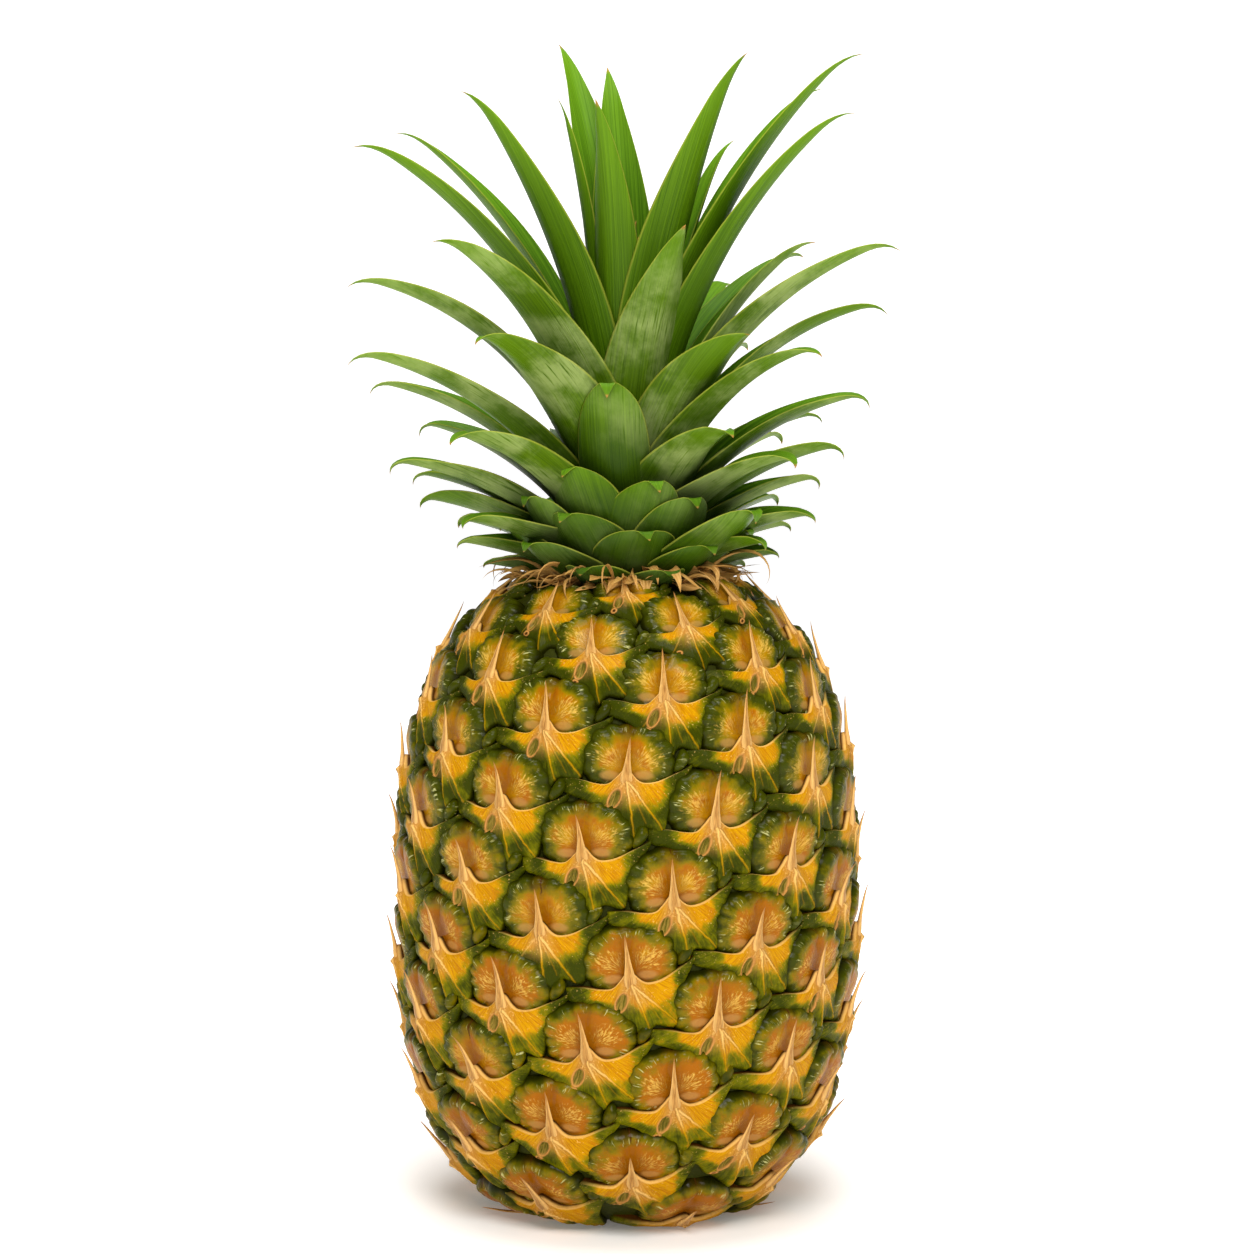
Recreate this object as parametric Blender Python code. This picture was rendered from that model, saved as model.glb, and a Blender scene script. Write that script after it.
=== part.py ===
"""A whole pineapple standing on its base: the fruit with its eyes and spines, the dry bracts of its
neck, its leafy crown and the cut stem underneath.

Sizes are in millimetres and are turned into metres when a mesh is made. +Z is up, the fruit stands on
z = 0, and an azimuth of 0 faces -Y, with positive azimuths turning towards +X.
"""

import math
import random

import bmesh
import bpy
import numpy as np
from mathutils import Matrix, Vector

MM = 0.001

# Fruit: a superellipse of revolution, cut flat where it stands and where the neck begins
GROOVE_RADIUS = 59.6
PROFILE_POWER = 2.7
WIDEST_HEIGHT = 84.0
RISE_ABOVE = 88.5
DROP_BELOW = 88.0
NECK_HEIGHT = 166.8
SPARE = 2.5  # how far the raw shape runs past both flat cuts
RINGS = 140
SEGMENTS = 300
KEPT_SHARE = 0.063  # of the raw shape's triangles

# Eyes: one spiral round the fruit
EYE_TURN = -137.67
FIRST_AZIMUTH = 0.5
FIRST_ARC = 85.0  # length along the skin from the base to eye number 0
EYE_RISE = 1.505
CROWDING_BELOW = 1.3
CROWDING_ABOVE = 0.1
LOWEST_EYE = -45
HIGHEST_EYE = 70

# Each eye's fruitlet: a lobed dome, lower towards the bract
DOME_RELIEF = 3.5
DOME_MIDDLE = (0.9, 3.3)
DOME_HALF = (12.1, 9.1)
DOME_SQUARENESS = 2.5
DOME_LOBES = 9
LOBE_DEPTH = 0.06
DOME_LEAN = 0.45
DOME_LEAN_FROM = -2.0
DOME_LEAN_OVER = 9.0

# Each eye's bract: a kite with a sagging upper edge, a blunt tip at its left and a sharp one at its right
BRACT_RELIEF = 4.4
BRACT_SAG = 1.8
SAG_PLACE = 5.0
SAG_WIDTH = 4.5
BRACT_LEFT = (-14.0, -1.5)
BRACT_RIGHT = (18.0, 0.0)
LEFT_SLOPE = (0.6, 0.8)
RIGHT_SLOPE = (-0.9, 0.44)
BRACT_DEPTH = 15.0
EDGE_ROLL = 2.6
RIDGE_WIDTH = 7.0
RIDGE_DRIFT = 7.5
RIDGE_SHARE = 0.66

# Spines: one from the middle of each bract
SPINE_LENGTH = 11.0
SPINE_WIDTH = 3.4
SPINE_ROOT = 1.2
SPINE_LIFT = 5.6

# Neck and crown
GAP = 0.3
NECK_RING_RADIUS = 19.5
NECK_RING_HEIGHT = 1.5
NECK_BRACTS = 14
PLUG_RADIUS = 15.0
CROWN_FOOT = 169.7
STEM_RADIUS = 20.0
STEM_WAIST = 200.0
STEM_WAIST_RADIUS = 15.0
STEM_TOP = 236.0
STEM_TOP_RADIUS = 8.0
BASAL_LEAVES = 27
LOWEST_TIP = 172.4
TIP_STEP = 0.84
FRONT_SHORTER = 0.22  # the rosette's low leaves reach less far to the front and the back
BLADE_KEEL = (1.5, 0.8)
BLADE_FOLD = (40, 24)  # how far each half of a blade is turned up, at its root and its tip

# Cut stem
CUT_RADIUS = 13.5
CUT_DEPTH = 4.0

# The large leaves, read off the photograph: azimuth in degrees, reach of the tip from the crown's axis,
# its height above the surface, and the leaf's width
LARGE_LEAVES = (
    (-148, 34, 315, 22), (-165, 16, 308, 24), (-22, 24, 297, 20), (-84, 19, 299, 14), (-66, 48, 299, 24),
    (-112, 68, 290, 18), (-76, 75, 284, 21), (-48, 68, 259, 27), (-84, 75, 248, 21), (-74, 75, 229, 20),
    (-96, 68, 222, 18), (-38, 62, 234, 27), (-112, 59, 211, 17), (-50, 56, 210, 25), (-82, 61, 202, 19),
    (2, 46, 220, 24), (-102, 57, 198, 16), (56, 38, 309, 28), (112, 32, 288, 16), (76, 65, 309, 22),
    (108, 57, 302, 19), (68, 65, 293, 21), (100, 52, 260, 20), (78, 74, 257, 20), (98, 71, 241, 18),
    (26, 33, 264, 29), (42, 46, 236, 28), (60, 58, 231, 25), (86, 63, 219, 18), (108, 53, 214, 16),
    (36, 44, 211, 26), (78, 56, 206, 19), (58, 50, 204, 23), (100, 51, 197, 16), (-22, 39, 199, 24),
    (14, 37, 194, 21),
)
# Leaves that the photograph hides, guessed: long ones at the back and young ones in the middle
HIDDEN_LEAVES = (
    (178, 64, 270, 24), (154, 70, 248, 22), (-150, 68, 254, 23),
    (30, 6, 266, 16), (150, 7, 262, 16), (-90, 7, 264, 16),
)
# Front leaves that are repeated behind, half a turn on
BACK_LIMIT = 56
BACK_TALLEST = 270


def body_outline():
    """The groove line's radius, height and length along the skin, from below the base to above the neck."""
    angle = np.linspace(-math.pi / 2, math.pi / 2, 4001)
    power = 2 / PROFILE_POWER
    radius = GROOVE_RADIUS * np.abs(np.cos(angle)) ** power
    side = np.where(angle < 0, -DROP_BELOW, RISE_ABOVE)
    height = WIDEST_HEIGHT + side * np.abs(np.sin(angle)) ** power
    kept = (height >= -SPARE) & (height <= NECK_HEIGHT + SPARE)
    radius, height = radius[kept], height[kept]
    arc = np.concatenate([[0], np.cumsum(np.hypot(np.diff(radius), np.diff(height)))])
    return radius, height, arc - np.interp(0, height, arc)


def eye_sites(outline):
    """Azimuth in radians, arc length and size of every eye on the spiral."""
    radius, height, arc = outline
    middle = (radius[1:] + radius[:-1]) / 2 / GROOVE_RADIUS
    low = (height[1:] + height[:-1]) / 2 < WIDEST_HEIGHT
    weight = middle ** np.where(low, CROWDING_BELOW, CROWDING_ABOVE)
    climb = np.concatenate([[0], np.cumsum(weight * np.diff(arc))])
    start = np.interp(FIRST_ARC, arc, climb)
    sites = []
    for number in range(LOWEST_EYE, HIGHEST_EYE + 1):
        at = np.interp(start + number * EYE_RISE, climb, arc)
        step = np.interp(start + (number + 1) * EYE_RISE, climb, arc) - at
        room = np.interp(at, arc, radius) / GROOVE_RADIUS
        size = min(1.08, max(0.7, math.sqrt(room * step / EYE_RISE)))
        sites.append((math.radians(FIRST_AZIMUTH + EYE_TURN * number), at, size))
    return sites


def eye_height(u, v):
    """Relief of one eye: its domed fruitlet above, its pointed bract below. u runs right, v up."""
    right, above = u - DOME_MIDDLE[0], v - DOME_MIDDLE[1]
    scallop = 1 + LOBE_DEPTH * np.cos(DOME_LOBES * np.arctan2(above, right))
    away = np.abs(right / DOME_HALF[0]) ** DOME_SQUARENESS + np.abs(above / DOME_HALF[1]) ** DOME_SQUARENESS
    lean = DOME_LEAN + (1 - DOME_LEAN) * np.clip((v - DOME_LEAN_FROM) / DOME_LEAN_OVER, 0, 1)
    dome = DOME_RELIEF * lean * np.clip(1 - (away / scallop) ** 1.6, 0, 1) ** 0.5

    # Distances in from the bract's upper edge and from its two lower edges
    from_top = -0.2 - BRACT_SAG * np.exp(-((np.abs(right) - SAG_PLACE) / SAG_WIDTH) ** 2) - v
    edge = np.clip(from_top, 0, 1)
    for corner, slope in ((BRACT_LEFT, LEFT_SLOPE), (BRACT_RIGHT, RIGHT_SLOPE)):
        distance = (u - corner[0]) * slope[0] + (v - corner[1]) * slope[1]
        edge = edge * np.clip(distance / EDGE_ROLL, 0, 1) ** 0.7
    down = np.clip(-v / BRACT_DEPTH, 0, 1)
    ridge = np.exp(-((u - RIDGE_DRIFT * down) / RIDGE_WIDTH) ** 2)
    bract = BRACT_RELIEF * (1 - RIDGE_SHARE + RIDGE_SHARE * ridge) * (1 - 0.5 * down) * edge
    return np.maximum(dome, bract)


def relief(azimuth, arc, radius, sites):
    """The highest of all eyes at each point of the skin."""
    top = np.zeros_like(arc)
    for site_azimuth, site_arc, size in sites:
        turn = (azimuth - site_azimuth + math.pi) % (2 * math.pi) - math.pi
        u, v = turn * radius / size, (arc - site_arc) / size
        near = (np.abs(u) < 20) & (np.abs(v) < 20)
        top[near] = np.maximum(top[near], size * eye_height(u[near], v[near]))
    return top


def skin_point(azimuth, arc, lift, outline):
    """A point at a height above the grooves, in millimetres. Past either end the skin runs on straight."""
    radius, height, arcs = outline
    inside = min(max(arc, arcs[0] + 0.5), arcs[-1] - 0.5)
    slope_r = np.interp(inside + 0.5, arcs, radius) - np.interp(inside - 0.5, arcs, radius)
    slope_z = np.interp(inside + 0.5, arcs, height) - np.interp(inside - 0.5, arcs, height)
    scale = math.hypot(slope_r, slope_z)
    past = arc - inside
    r = np.interp(inside, arcs, radius) + (past * slope_r + lift * slope_z) / scale
    z = np.interp(inside, arcs, height) + (past * slope_z - lift * slope_r) / scale
    return Vector((r * math.sin(azimuth), -r * math.cos(azimuth), z))


def new_object(name, shape, colour=None, roughness=0.5):
    """Turns a bmesh in millimetres into an object in metres with its own material."""
    bmesh.ops.scale(shape, vec=(MM, MM, MM), verts=shape.verts)
    mesh = bpy.data.meshes.new(name)
    shape.to_mesh(mesh)
    shape.free()
    thing = bpy.data.objects.new(name, mesh)
    bpy.context.scene.collection.objects.link(thing)
    if colour:
        material = bpy.data.materials.new(name)
        material.use_nodes = True
        shader = material.node_tree.nodes["Principled BSDF"]
        shader.inputs["Base Color"].default_value = (*colour, 1)
        shader.inputs["Roughness"].default_value = roughness
        mesh.materials.append(material)
    return thing


def apply_modifiers(thing):
    """Replaces the object's mesh with its evaluated one."""
    graph = bpy.context.evaluated_depsgraph_get()
    mesh = bpy.data.meshes.new_from_object(thing.evaluated_get(graph))
    thing.modifiers.clear()
    thing.data = mesh


def combine(thing, others, operation, solver="MANIFOLD"):
    """Joins the others to the thing in one Boolean, or cuts them from it, and removes them."""
    group = bpy.data.collections.new(thing.name + "_pieces")
    bpy.context.scene.collection.children.link(group)
    for other in others:
        bpy.context.scene.collection.objects.unlink(other)
        group.objects.link(other)
    boolean = thing.modifiers.new("combine", "BOOLEAN")
    boolean.operation = operation
    boolean.solver = solver
    boolean.operand_type = "COLLECTION"
    boolean.collection = group
    apply_modifiers(thing)
    for other in others:
        bpy.data.objects.remove(other)
    bpy.data.collections.remove(group)


def fill_pockets(thing):
    """Removes the closed skins of any sealed pockets, which leaves them solid."""
    shape = bmesh.new()
    shape.from_mesh(thing.data)
    left = set(shape.faces)
    islands = []
    while left:
        island = []
        front = [left.pop()]
        while front:
            face = front.pop()
            island.append(face)
            around = {other for edge in face.edges for other in edge.link_faces} & left
            left -= around
            front.extend(around)
        islands.append(island)
    islands.sort(key=len)
    pockets = [face for island in islands[:-1] for face in island]
    bmesh.ops.delete(shape, geom=pockets, context="FACES")
    loose = [vert for vert in shape.verts if not vert.link_faces]
    bmesh.ops.delete(shape, geom=loose, context="VERTS")
    shape.to_mesh(thing.data)
    shape.free()


def disc(shape, radius, top_radius, bottom, top, sides):
    """A closed cylinder or cone frustum on the axis."""
    bmesh.ops.create_cone(
        shape, cap_ends=True, segments=sides, radius1=radius, radius2=top_radius, depth=top - bottom,
        matrix=Matrix.Translation((0, 0, (top + bottom) / 2)),
    )


def smooth(thing, angle=40):
    thing.data.shade_smooth()
    thing.data.set_sharp_from_angle(angle=math.radians(angle))


def spine(site, outline):
    """A three-sided needle that leaves the bract's middle and points up along the skin."""
    azimuth, arc, size = site
    room = np.interp(arc, outline[2], outline[0])
    reach = SPINE_LENGTH * size
    turn = SPINE_WIDTH * size / 2 / room
    low, root, lift = arc - 2.5 * size, arc + 0.5 * size, SPINE_LIFT * size
    corners = (
        skin_point(azimuth - turn, low, SPINE_ROOT, outline),
        skin_point(azimuth + turn, low, SPINE_ROOT, outline),
        skin_point(azimuth, root, SPINE_ROOT - 0.9, outline),
        skin_point(azimuth, low + 0.6, SPINE_ROOT + 2.4, outline),
        skin_point(azimuth, low + reach + 2.5, lift, outline),
    )
    shape = bmesh.new()
    for corner in corners:
        shape.verts.new(corner)
    bmesh.ops.convex_hull(shape, input=shape.verts)
    return new_object("spine", shape)


def make_fruit():
    outline = body_outline()
    radius, height, arc = outline
    rows = np.linspace(arc[0], arc[-1], RINGS)
    shape = bmesh.new()
    line = [shape.verts.new((0, 0, height[0]))]
    line += [shape.verts.new((0, -np.interp(a, arc, radius), np.interp(a, arc, height))) for a in rows]
    line.append(shape.verts.new((0, 0, height[-1])))
    edges = [shape.edges.new(pair) for pair in zip(line, line[1:])]
    bmesh.ops.spin(
        shape, geom=line + edges, cent=(0, 0, 0), axis=(0, 0, 1), angle=2 * math.pi,
        steps=SEGMENTS, use_merge=True,
    )
    bmesh.ops.remove_doubles(shape, verts=shape.verts, dist=0.001)
    bmesh.ops.recalc_face_normals(shape, faces=shape.faces)

    sites = eye_sites(outline)
    skin = [v for v in shape.verts if math.hypot(v.co.x, v.co.y) > 1]
    azimuth = np.array([math.atan2(v.co.x, -v.co.y) for v in skin])
    at = np.interp([v.co.z for v in skin], height, arc)
    reach = np.interp(at, arc, radius)
    for vert, turn, length, lift in zip(skin, azimuth, at, relief(azimuth, at, reach, sites)):
        vert.co = skin_point(turn, length, lift, outline)

    fruit = new_object("fruit", shape, (0.52, 0.30, 0.03), 0.45)
    thin = fruit.modifiers.new("thin", "DECIMATE")
    thin.ratio = KEPT_SHARE
    apply_modifiers(fruit)
    combine(fruit, [spine(site, outline) for site in sites], "UNION")
    fill_pockets(fruit)

    # Flat cuts below and above, filled
    shape = bmesh.new()
    shape.from_mesh(fruit.data)
    for level, way in ((0.0, -1), (NECK_HEIGHT * MM, 1)):
        everything = shape.verts[:] + shape.edges[:] + shape.faces[:]
        cut = bmesh.ops.bisect_plane(
            shape, geom=everything, dist=1e-7, plane_co=(0, 0, level), plane_no=(0, 0, way), clear_outer=True,
        )
        rim = [e for e in cut["geom_cut"] if isinstance(e, bmesh.types.BMEdge)]
        bmesh.ops.holes_fill(shape, edges=rim)
    bmesh.ops.triangulate(shape, faces=shape.faces)
    shape.to_mesh(fruit.data)
    shape.free()

    # Recess that the cut stem sits in
    shape = bmesh.new()
    disc(shape, CUT_RADIUS + GAP, CUT_RADIUS + GAP, -3, CUT_DEPTH + GAP, 24)
    combine(fruit, [new_object("recess", shape)], "DIFFERENCE", "EXACT")
    smooth(fruit)


def leaf_line(root, tip, arch, hook, steps):
    """Points and directions of a leaf's keel in its own upright plane, as (reach, height, angle)."""
    fine = 60
    t = np.linspace(0, 1, fine * steps + 1)
    bend = -arch + 2 * arch * t + hook * np.clip((t - 0.84) / 0.16, 0, 1) ** 2
    line = np.cumsum(np.stack([np.sin(bend), np.cos(bend)], 1), axis=0)
    line -= line[0]
    want = Vector((tip[0] - root[0], tip[1] - root[1]))
    scale = want.length / np.hypot(*line[-1])
    turn = math.atan2(want.x, want.y) - math.atan2(*line[-1])
    x, z = line[:, 0] * scale, line[:, 1] * scale
    reach = root[0] + x * math.cos(turn) + z * math.sin(turn)
    height = root[1] + z * math.cos(turn) - x * math.sin(turn)
    return [(reach[i], height[i], bend[i] + turn) for i in range(0, len(t), fine)]


def blade(azimuth, root, tip, width, arch, hook, steps, fold, keel):
    """One closed leaf: a channelled blade, thick along its keel, with its edges turned up."""
    azimuth = math.radians(azimuth)
    out = Vector((math.sin(azimuth), -math.cos(azimuth), 0))
    side = Vector((math.cos(azimuth), math.sin(azimuth), 0))
    up = Vector((0, 0, 1))
    shape = bmesh.new()
    rings = []
    line = leaf_line(root, tip, arch, hook, steps)
    for i, (reach, height, angle) in enumerate(line[:-1]):
        t = i / steps
        centre = out * reach + up * height
        face = up * math.sin(angle) - out * math.cos(angle)
        half = width / 2 * (0.72 + 0.28 * min(1, t / 0.2)) * (1 - t ** 3.4) ** 0.9
        rise = math.radians(fold[0] + (fold[1] - fold[0]) * t)
        spread = side * half * math.cos(rise)
        lift = face * half * math.sin(rise)
        thick = keel[0] + (keel[1] - keel[0]) * t
        corners = (centre - face * thick, centre + spread + lift, centre, centre - spread + lift)
        rings.append([shape.verts.new(c) for c in corners])
    reach, height, angle = line[-1]
    end = shape.verts.new(out * reach + up * height)
    for low, high in zip(rings, rings[1:]):
        for i in range(4):
            j = (i + 1) % 4
            shape.faces.new((low[i], low[j], high[j], high[i]))
    for i in range(4):
        shape.faces.new((rings[-1][i], rings[-1][(i + 1) % 4], end))
    shape.faces.new(rings[0][::-1])
    bmesh.ops.recalc_face_normals(shape, faces=shape.faces)
    bmesh.ops.triangulate(shape, faces=shape.faces)
    return new_object("blade", shape)


def crown_leaves():
    """Azimuth, reach, tip height and width of every leaf of the crown."""
    spread = random.Random(7)
    leaves = list(LARGE_LEAVES + HIDDEN_LEAVES)
    for azimuth, reach, height, width in LARGE_LEAVES:
        if abs(azimuth) < BACK_LIMIT and height < BACK_TALLEST:
            turned = azimuth + 180 + spread.uniform(-9, 9)
            leaves.append((turned, reach * spread.uniform(0.93, 1.05), height - 2, width))
    for number in range(BASAL_LEAVES):
        azimuth = -17 + 137.508 * number
        above = TIP_STEP * number
        flat = 1 - FRONT_SHORTER * math.cos(math.radians(azimuth)) ** 2 * above / 20
        reach = (35.5 + above + spread.uniform(-2, 2)) * flat
        leaves.append((azimuth, reach, LOWEST_TIP + above, 17 + 0.25 * above))
    return leaves


def crown_blade(leaf):
    """One leaf of the crown, rising from inside the stem and bending over until its tip lies level."""
    azimuth, reach, tip, width = leaf
    above = tip - LOWEST_TIP
    root = (11.0 - 0.03 * above, CROWN_FOOT + 1.6 + 0.24 * max(above - 8, 0))
    slant = abs(math.atan2(reach - root[0], tip - root[1]))
    arch = min(0.65 * slant + math.radians(3), math.radians(82) - slant)
    hook = math.radians(min(24, max(8, 0.5 * math.degrees(slant))))
    steps = 6 if above > 25 else 4
    return blade(azimuth, root, (reach, tip), width, arch, hook, steps, BLADE_FOLD, BLADE_KEEL)


def make_crown():
    shape = bmesh.new()
    disc(shape, PLUG_RADIUS, PLUG_RADIUS, NECK_HEIGHT + GAP, CROWN_FOOT + 3, 16)
    crown = new_object("crown", shape, (0.13, 0.27, 0.05), 0.45)
    pieces = [crown_blade(leaf) for leaf in crown_leaves()]
    levels = (
        (CROWN_FOOT, STEM_RADIUS),
        (STEM_WAIST, STEM_WAIST_RADIUS),
        (STEM_TOP, STEM_TOP_RADIUS),
    )
    for (bottom, wide), (top, narrow) in zip(levels, levels[1:]):
        shape = bmesh.new()
        disc(shape, wide, narrow, bottom, top, 16)
        pieces.append(new_object("stem", shape))
    combine(crown, pieces, "UNION")
    fill_pockets(crown)
    smooth(crown)


def make_neck_bracts():
    shape = bmesh.new()
    bottom = NECK_HEIGHT + GAP
    disc(shape, NECK_RING_RADIUS, NECK_RING_RADIUS, bottom, bottom + NECK_RING_HEIGHT, 16)
    neck = new_object("neck_bracts", shape, (0.36, 0.20, 0.08), 0.8)
    spread = random.Random(11)
    blades = []
    for number in range(NECK_BRACTS):
        azimuth = number * 360 / NECK_BRACTS + spread.uniform(-6, 6)
        tip = (spread.uniform(29, 35), bottom + spread.uniform(1.2, 2.6))
        arch = math.radians(spread.uniform(4, 12))
        root = (17.5, bottom + 1.0)
        blades.append(blade(azimuth, root, tip, 8.0, arch, math.radians(20), 3, (14, 10), (0.9, 0.7)))
    combine(neck, blades, "UNION")
    fill_pockets(neck)
    shape = bmesh.new()
    disc(shape, PLUG_RADIUS + GAP, PLUG_RADIUS + GAP, bottom - 2, bottom + 12, 16)
    combine(neck, [new_object("neck_hole", shape)], "DIFFERENCE", "EXACT")
    smooth(neck)


def make_cut_stem():
    shape = bmesh.new()
    disc(shape, CUT_RADIUS, CUT_RADIUS, 0, CUT_DEPTH, 24)
    stem = new_object("cut_stem", shape, (0.50, 0.37, 0.20), 0.85)
    smooth(stem)


for old in list(bpy.data.objects):
    bpy.data.objects.remove(old)
make_fruit()
make_crown()
make_neck_bracts()
make_cut_stem()
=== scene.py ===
import math
import random

import bmesh
import bpy
import numpy as np
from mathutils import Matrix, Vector


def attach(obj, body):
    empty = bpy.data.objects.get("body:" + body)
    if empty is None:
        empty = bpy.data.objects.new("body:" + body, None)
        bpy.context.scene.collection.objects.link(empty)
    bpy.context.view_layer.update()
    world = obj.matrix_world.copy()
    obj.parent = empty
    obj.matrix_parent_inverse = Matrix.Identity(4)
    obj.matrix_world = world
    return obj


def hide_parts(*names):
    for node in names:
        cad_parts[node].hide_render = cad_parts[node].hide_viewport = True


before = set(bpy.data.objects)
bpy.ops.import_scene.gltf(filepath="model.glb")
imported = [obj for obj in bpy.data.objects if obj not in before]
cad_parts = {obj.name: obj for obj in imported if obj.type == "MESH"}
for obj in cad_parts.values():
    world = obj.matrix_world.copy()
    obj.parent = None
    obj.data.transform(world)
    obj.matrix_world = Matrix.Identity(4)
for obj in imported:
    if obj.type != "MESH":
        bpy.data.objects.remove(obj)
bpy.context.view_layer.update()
print("frame loaded:", sorted(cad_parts))

# Lengths below are in millimetres and become metres when a mesh is made. Azimuth 0 faces the camera, -Y,
# and azimuths grow towards +X.
mm = 0.001

# The fruit's shape at the bottom of its grooves, as in the part
body = {
    "grooveRadius": 59.6,
    "roundness": 2.7,
    "widestHeight": 84.0,
    "riseAbove": 88.5,
    "dropBelow": 88.0,
    "neckHeight": 166.8,
    "spare": 2.5,
    "pressed": 1.2,   # how gently the flat cut below presses shapes together, in their order
}

# The spiral that places the eyes, as in the part
spiral = {
    "turn": -137.67,
    "firstAzimuth": 0.5,
    "firstArc": 85.0,
    "rise": 1.505,
    "crowdingBelow": 1.3,
    "crowdingAbove": 0.1,
    "lowest": -45,
    "highest": 70,
}


# Radius, height and length along the fruit's outline, and its direction there
def fruitOutline():
    angle = np.linspace(-math.pi / 2, math.pi / 2, 4001)
    power = 2 / body["roundness"]
    radius = body["grooveRadius"] * np.abs(np.cos(angle)) ** power
    side = np.where(angle < 0, -body["dropBelow"], body["riseAbove"])
    height = body["widestHeight"] + side * np.abs(np.sin(angle)) ** power
    kept = (height >= -body["spare"]) & (height <= body["neckHeight"] + body["spare"])
    radius, height = radius[kept], height[kept]
    arc = np.concatenate([[0], np.cumsum(np.hypot(np.diff(radius), np.diff(height)))])
    arc = arc - np.interp(0, height, arc)
    return {
        "radius": radius,
        "height": height,
        "arc": arc,
        "outward": np.gradient(radius, arc),
        "upward": np.gradient(height, arc),
    }


outline = fruitOutline()


def readOutline(arc, what):
    return np.interp(arc, outline["arc"], outline[what])


# Points at a height above the grooves. Past its ends the outline runs on straight.
def onSkin(azimuth, arc, lift):
    inside = np.clip(arc, outline["arc"][0] + 0.5, outline["arc"][-1] - 0.5)
    outward, upward = readOutline(inside, "outward"), readOutline(inside, "upward")
    radius = readOutline(inside, "radius") + (arc - inside) * outward + lift * upward
    height = readOutline(inside, "height") + (arc - inside) * upward - lift * outward
    height = body["pressed"] * np.logaddexp(0, height / body["pressed"])
    return np.stack([radius * np.sin(azimuth), -radius * np.cos(azimuth), height], -1)


def placeEyes():
    radius, height, arc = outline["radius"], outline["height"], outline["arc"]
    middle = (radius[1:] + radius[:-1]) / 2 / body["grooveRadius"]
    low = (height[1:] + height[:-1]) / 2 < body["widestHeight"]
    weight = middle ** np.where(low, spiral["crowdingBelow"], spiral["crowdingAbove"])
    climb = np.concatenate([[0], np.cumsum(weight * np.diff(arc))])
    start = np.interp(spiral["firstArc"], arc, climb)
    draw = random.Random(5)
    eyes = []
    for number in range(spiral["lowest"], spiral["highest"] + 1):
        at = np.interp(start + number * spiral["rise"], climb, arc)
        step = np.interp(start + (number + 1) * spiral["rise"], climb, arc) - at
        room = readOutline(at, "radius") / body["grooveRadius"]
        eyes.append({
            "azimuth": math.radians(spiral["firstAzimuth"] + spiral["turn"] * number),
            "arc": at,
            "size": min(1.08, max(0.7, math.sqrt(room * step / spiral["rise"]))),
            "tilt": math.radians(draw.uniform(-5, 5)),
            "chance": draw.random(),
            "phase": draw.uniform(0, 6.28),
        })
    return eyes


eyes = placeEyes()


# Points given in an eye's own frame: u to the right, v up, lift off the skin
def onEye(eye, u, v, lift):
    turned = u * math.cos(eye["tilt"]) - v * math.sin(eye["tilt"])
    raised = u * math.sin(eye["tilt"]) + v * math.cos(eye["tilt"])
    arc = eye["arc"] + eye["size"] * raised
    azimuth = eye["azimuth"] + eye["size"] * turned / np.maximum(readOutline(arc, "radius"), 20)
    return onSkin(azimuth, arc, eye["size"] * lift)


def smoothStep(x, low, high):
    t = np.clip((x - low) / (high - low), 0, 1)
    return t * t * (3 - 2 * t)


# A smooth curve through knots, read at s from 0 to 1
def throughKnots(knots, s):
    knots = np.array(knots, dtype=float)
    if knots.ndim == 1:
        knots = knots[:, None]
    last = len(knots) - 1
    place = np.clip(s, 0, 1) * last
    first = np.minimum(place.astype(int), last - 1)
    t = (place - first)[:, None]
    before, a = knots[np.maximum(first - 1, 0)], knots[first]
    b, after = knots[first + 1], knots[np.minimum(first + 2, last)]
    curve = a + 0.5 * t * (b - before + t * (2 * before - 5 * a + 4 * b - after
                                             + t * (3 * (a - b) + after - before)))
    return curve if curve.shape[1] > 1 else curve[:, 0]


# Template meshes. Each starts as a grid; its vertices keep the numbers that place them later.
def gridTemplate(columns, rows):
    shape = bmesh.new()
    bmesh.ops.create_grid(shape, x_segments=columns, y_segments=rows, size=0.5)
    bmesh.ops.translate(shape, verts=shape.verts, vec=(0.5, 0.5, 0))
    return keepTemplate(shape)


# A disc of spokes and rings, with its rings closer together near the rim
def discTemplate(spokes, rings):
    shape = bmesh.new()
    bmesh.ops.create_grid(shape, x_segments=spokes, y_segments=rings, size=0.5)
    for vert in shape.verts:
        turn, away = (vert.co.x + 0.5) * 2 * math.pi, 1 - (vert.co.y + 0.5)
        radius = 1 - (1 - away) ** 1.8
        vert.co = Vector((math.cos(turn), math.sin(turn), 0)) * radius
    bmesh.ops.remove_doubles(shape, verts=shape.verts, dist=0.0001)
    return keepTemplate(shape)


# A tube of unit radius and length, pinched shut at both ends
def tubeTemplate(around, rows):
    shape = bmesh.new()
    bmesh.ops.create_grid(shape, x_segments=around, y_segments=rows, size=0.5)
    for vert in shape.verts:
        turn, along = (vert.co.x + 0.5) * 2 * math.pi, vert.co.y + 0.5
        radius = 0 if along < 0.0001 or along > 0.9999 else 1
        vert.co = Vector((math.cos(turn) * radius, math.sin(turn) * radius, along))
    bmesh.ops.remove_doubles(shape, verts=shape.verts, dist=0.0001)
    bmesh.ops.recalc_face_normals(shape, faces=shape.faces)
    return keepTemplate(shape)


def keepTemplate(shape):
    mesh = bpy.data.meshes.new("template")
    shape.to_mesh(mesh)
    shape.free()
    return mesh, np.array([vert.co for vert in mesh.vertices])


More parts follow.
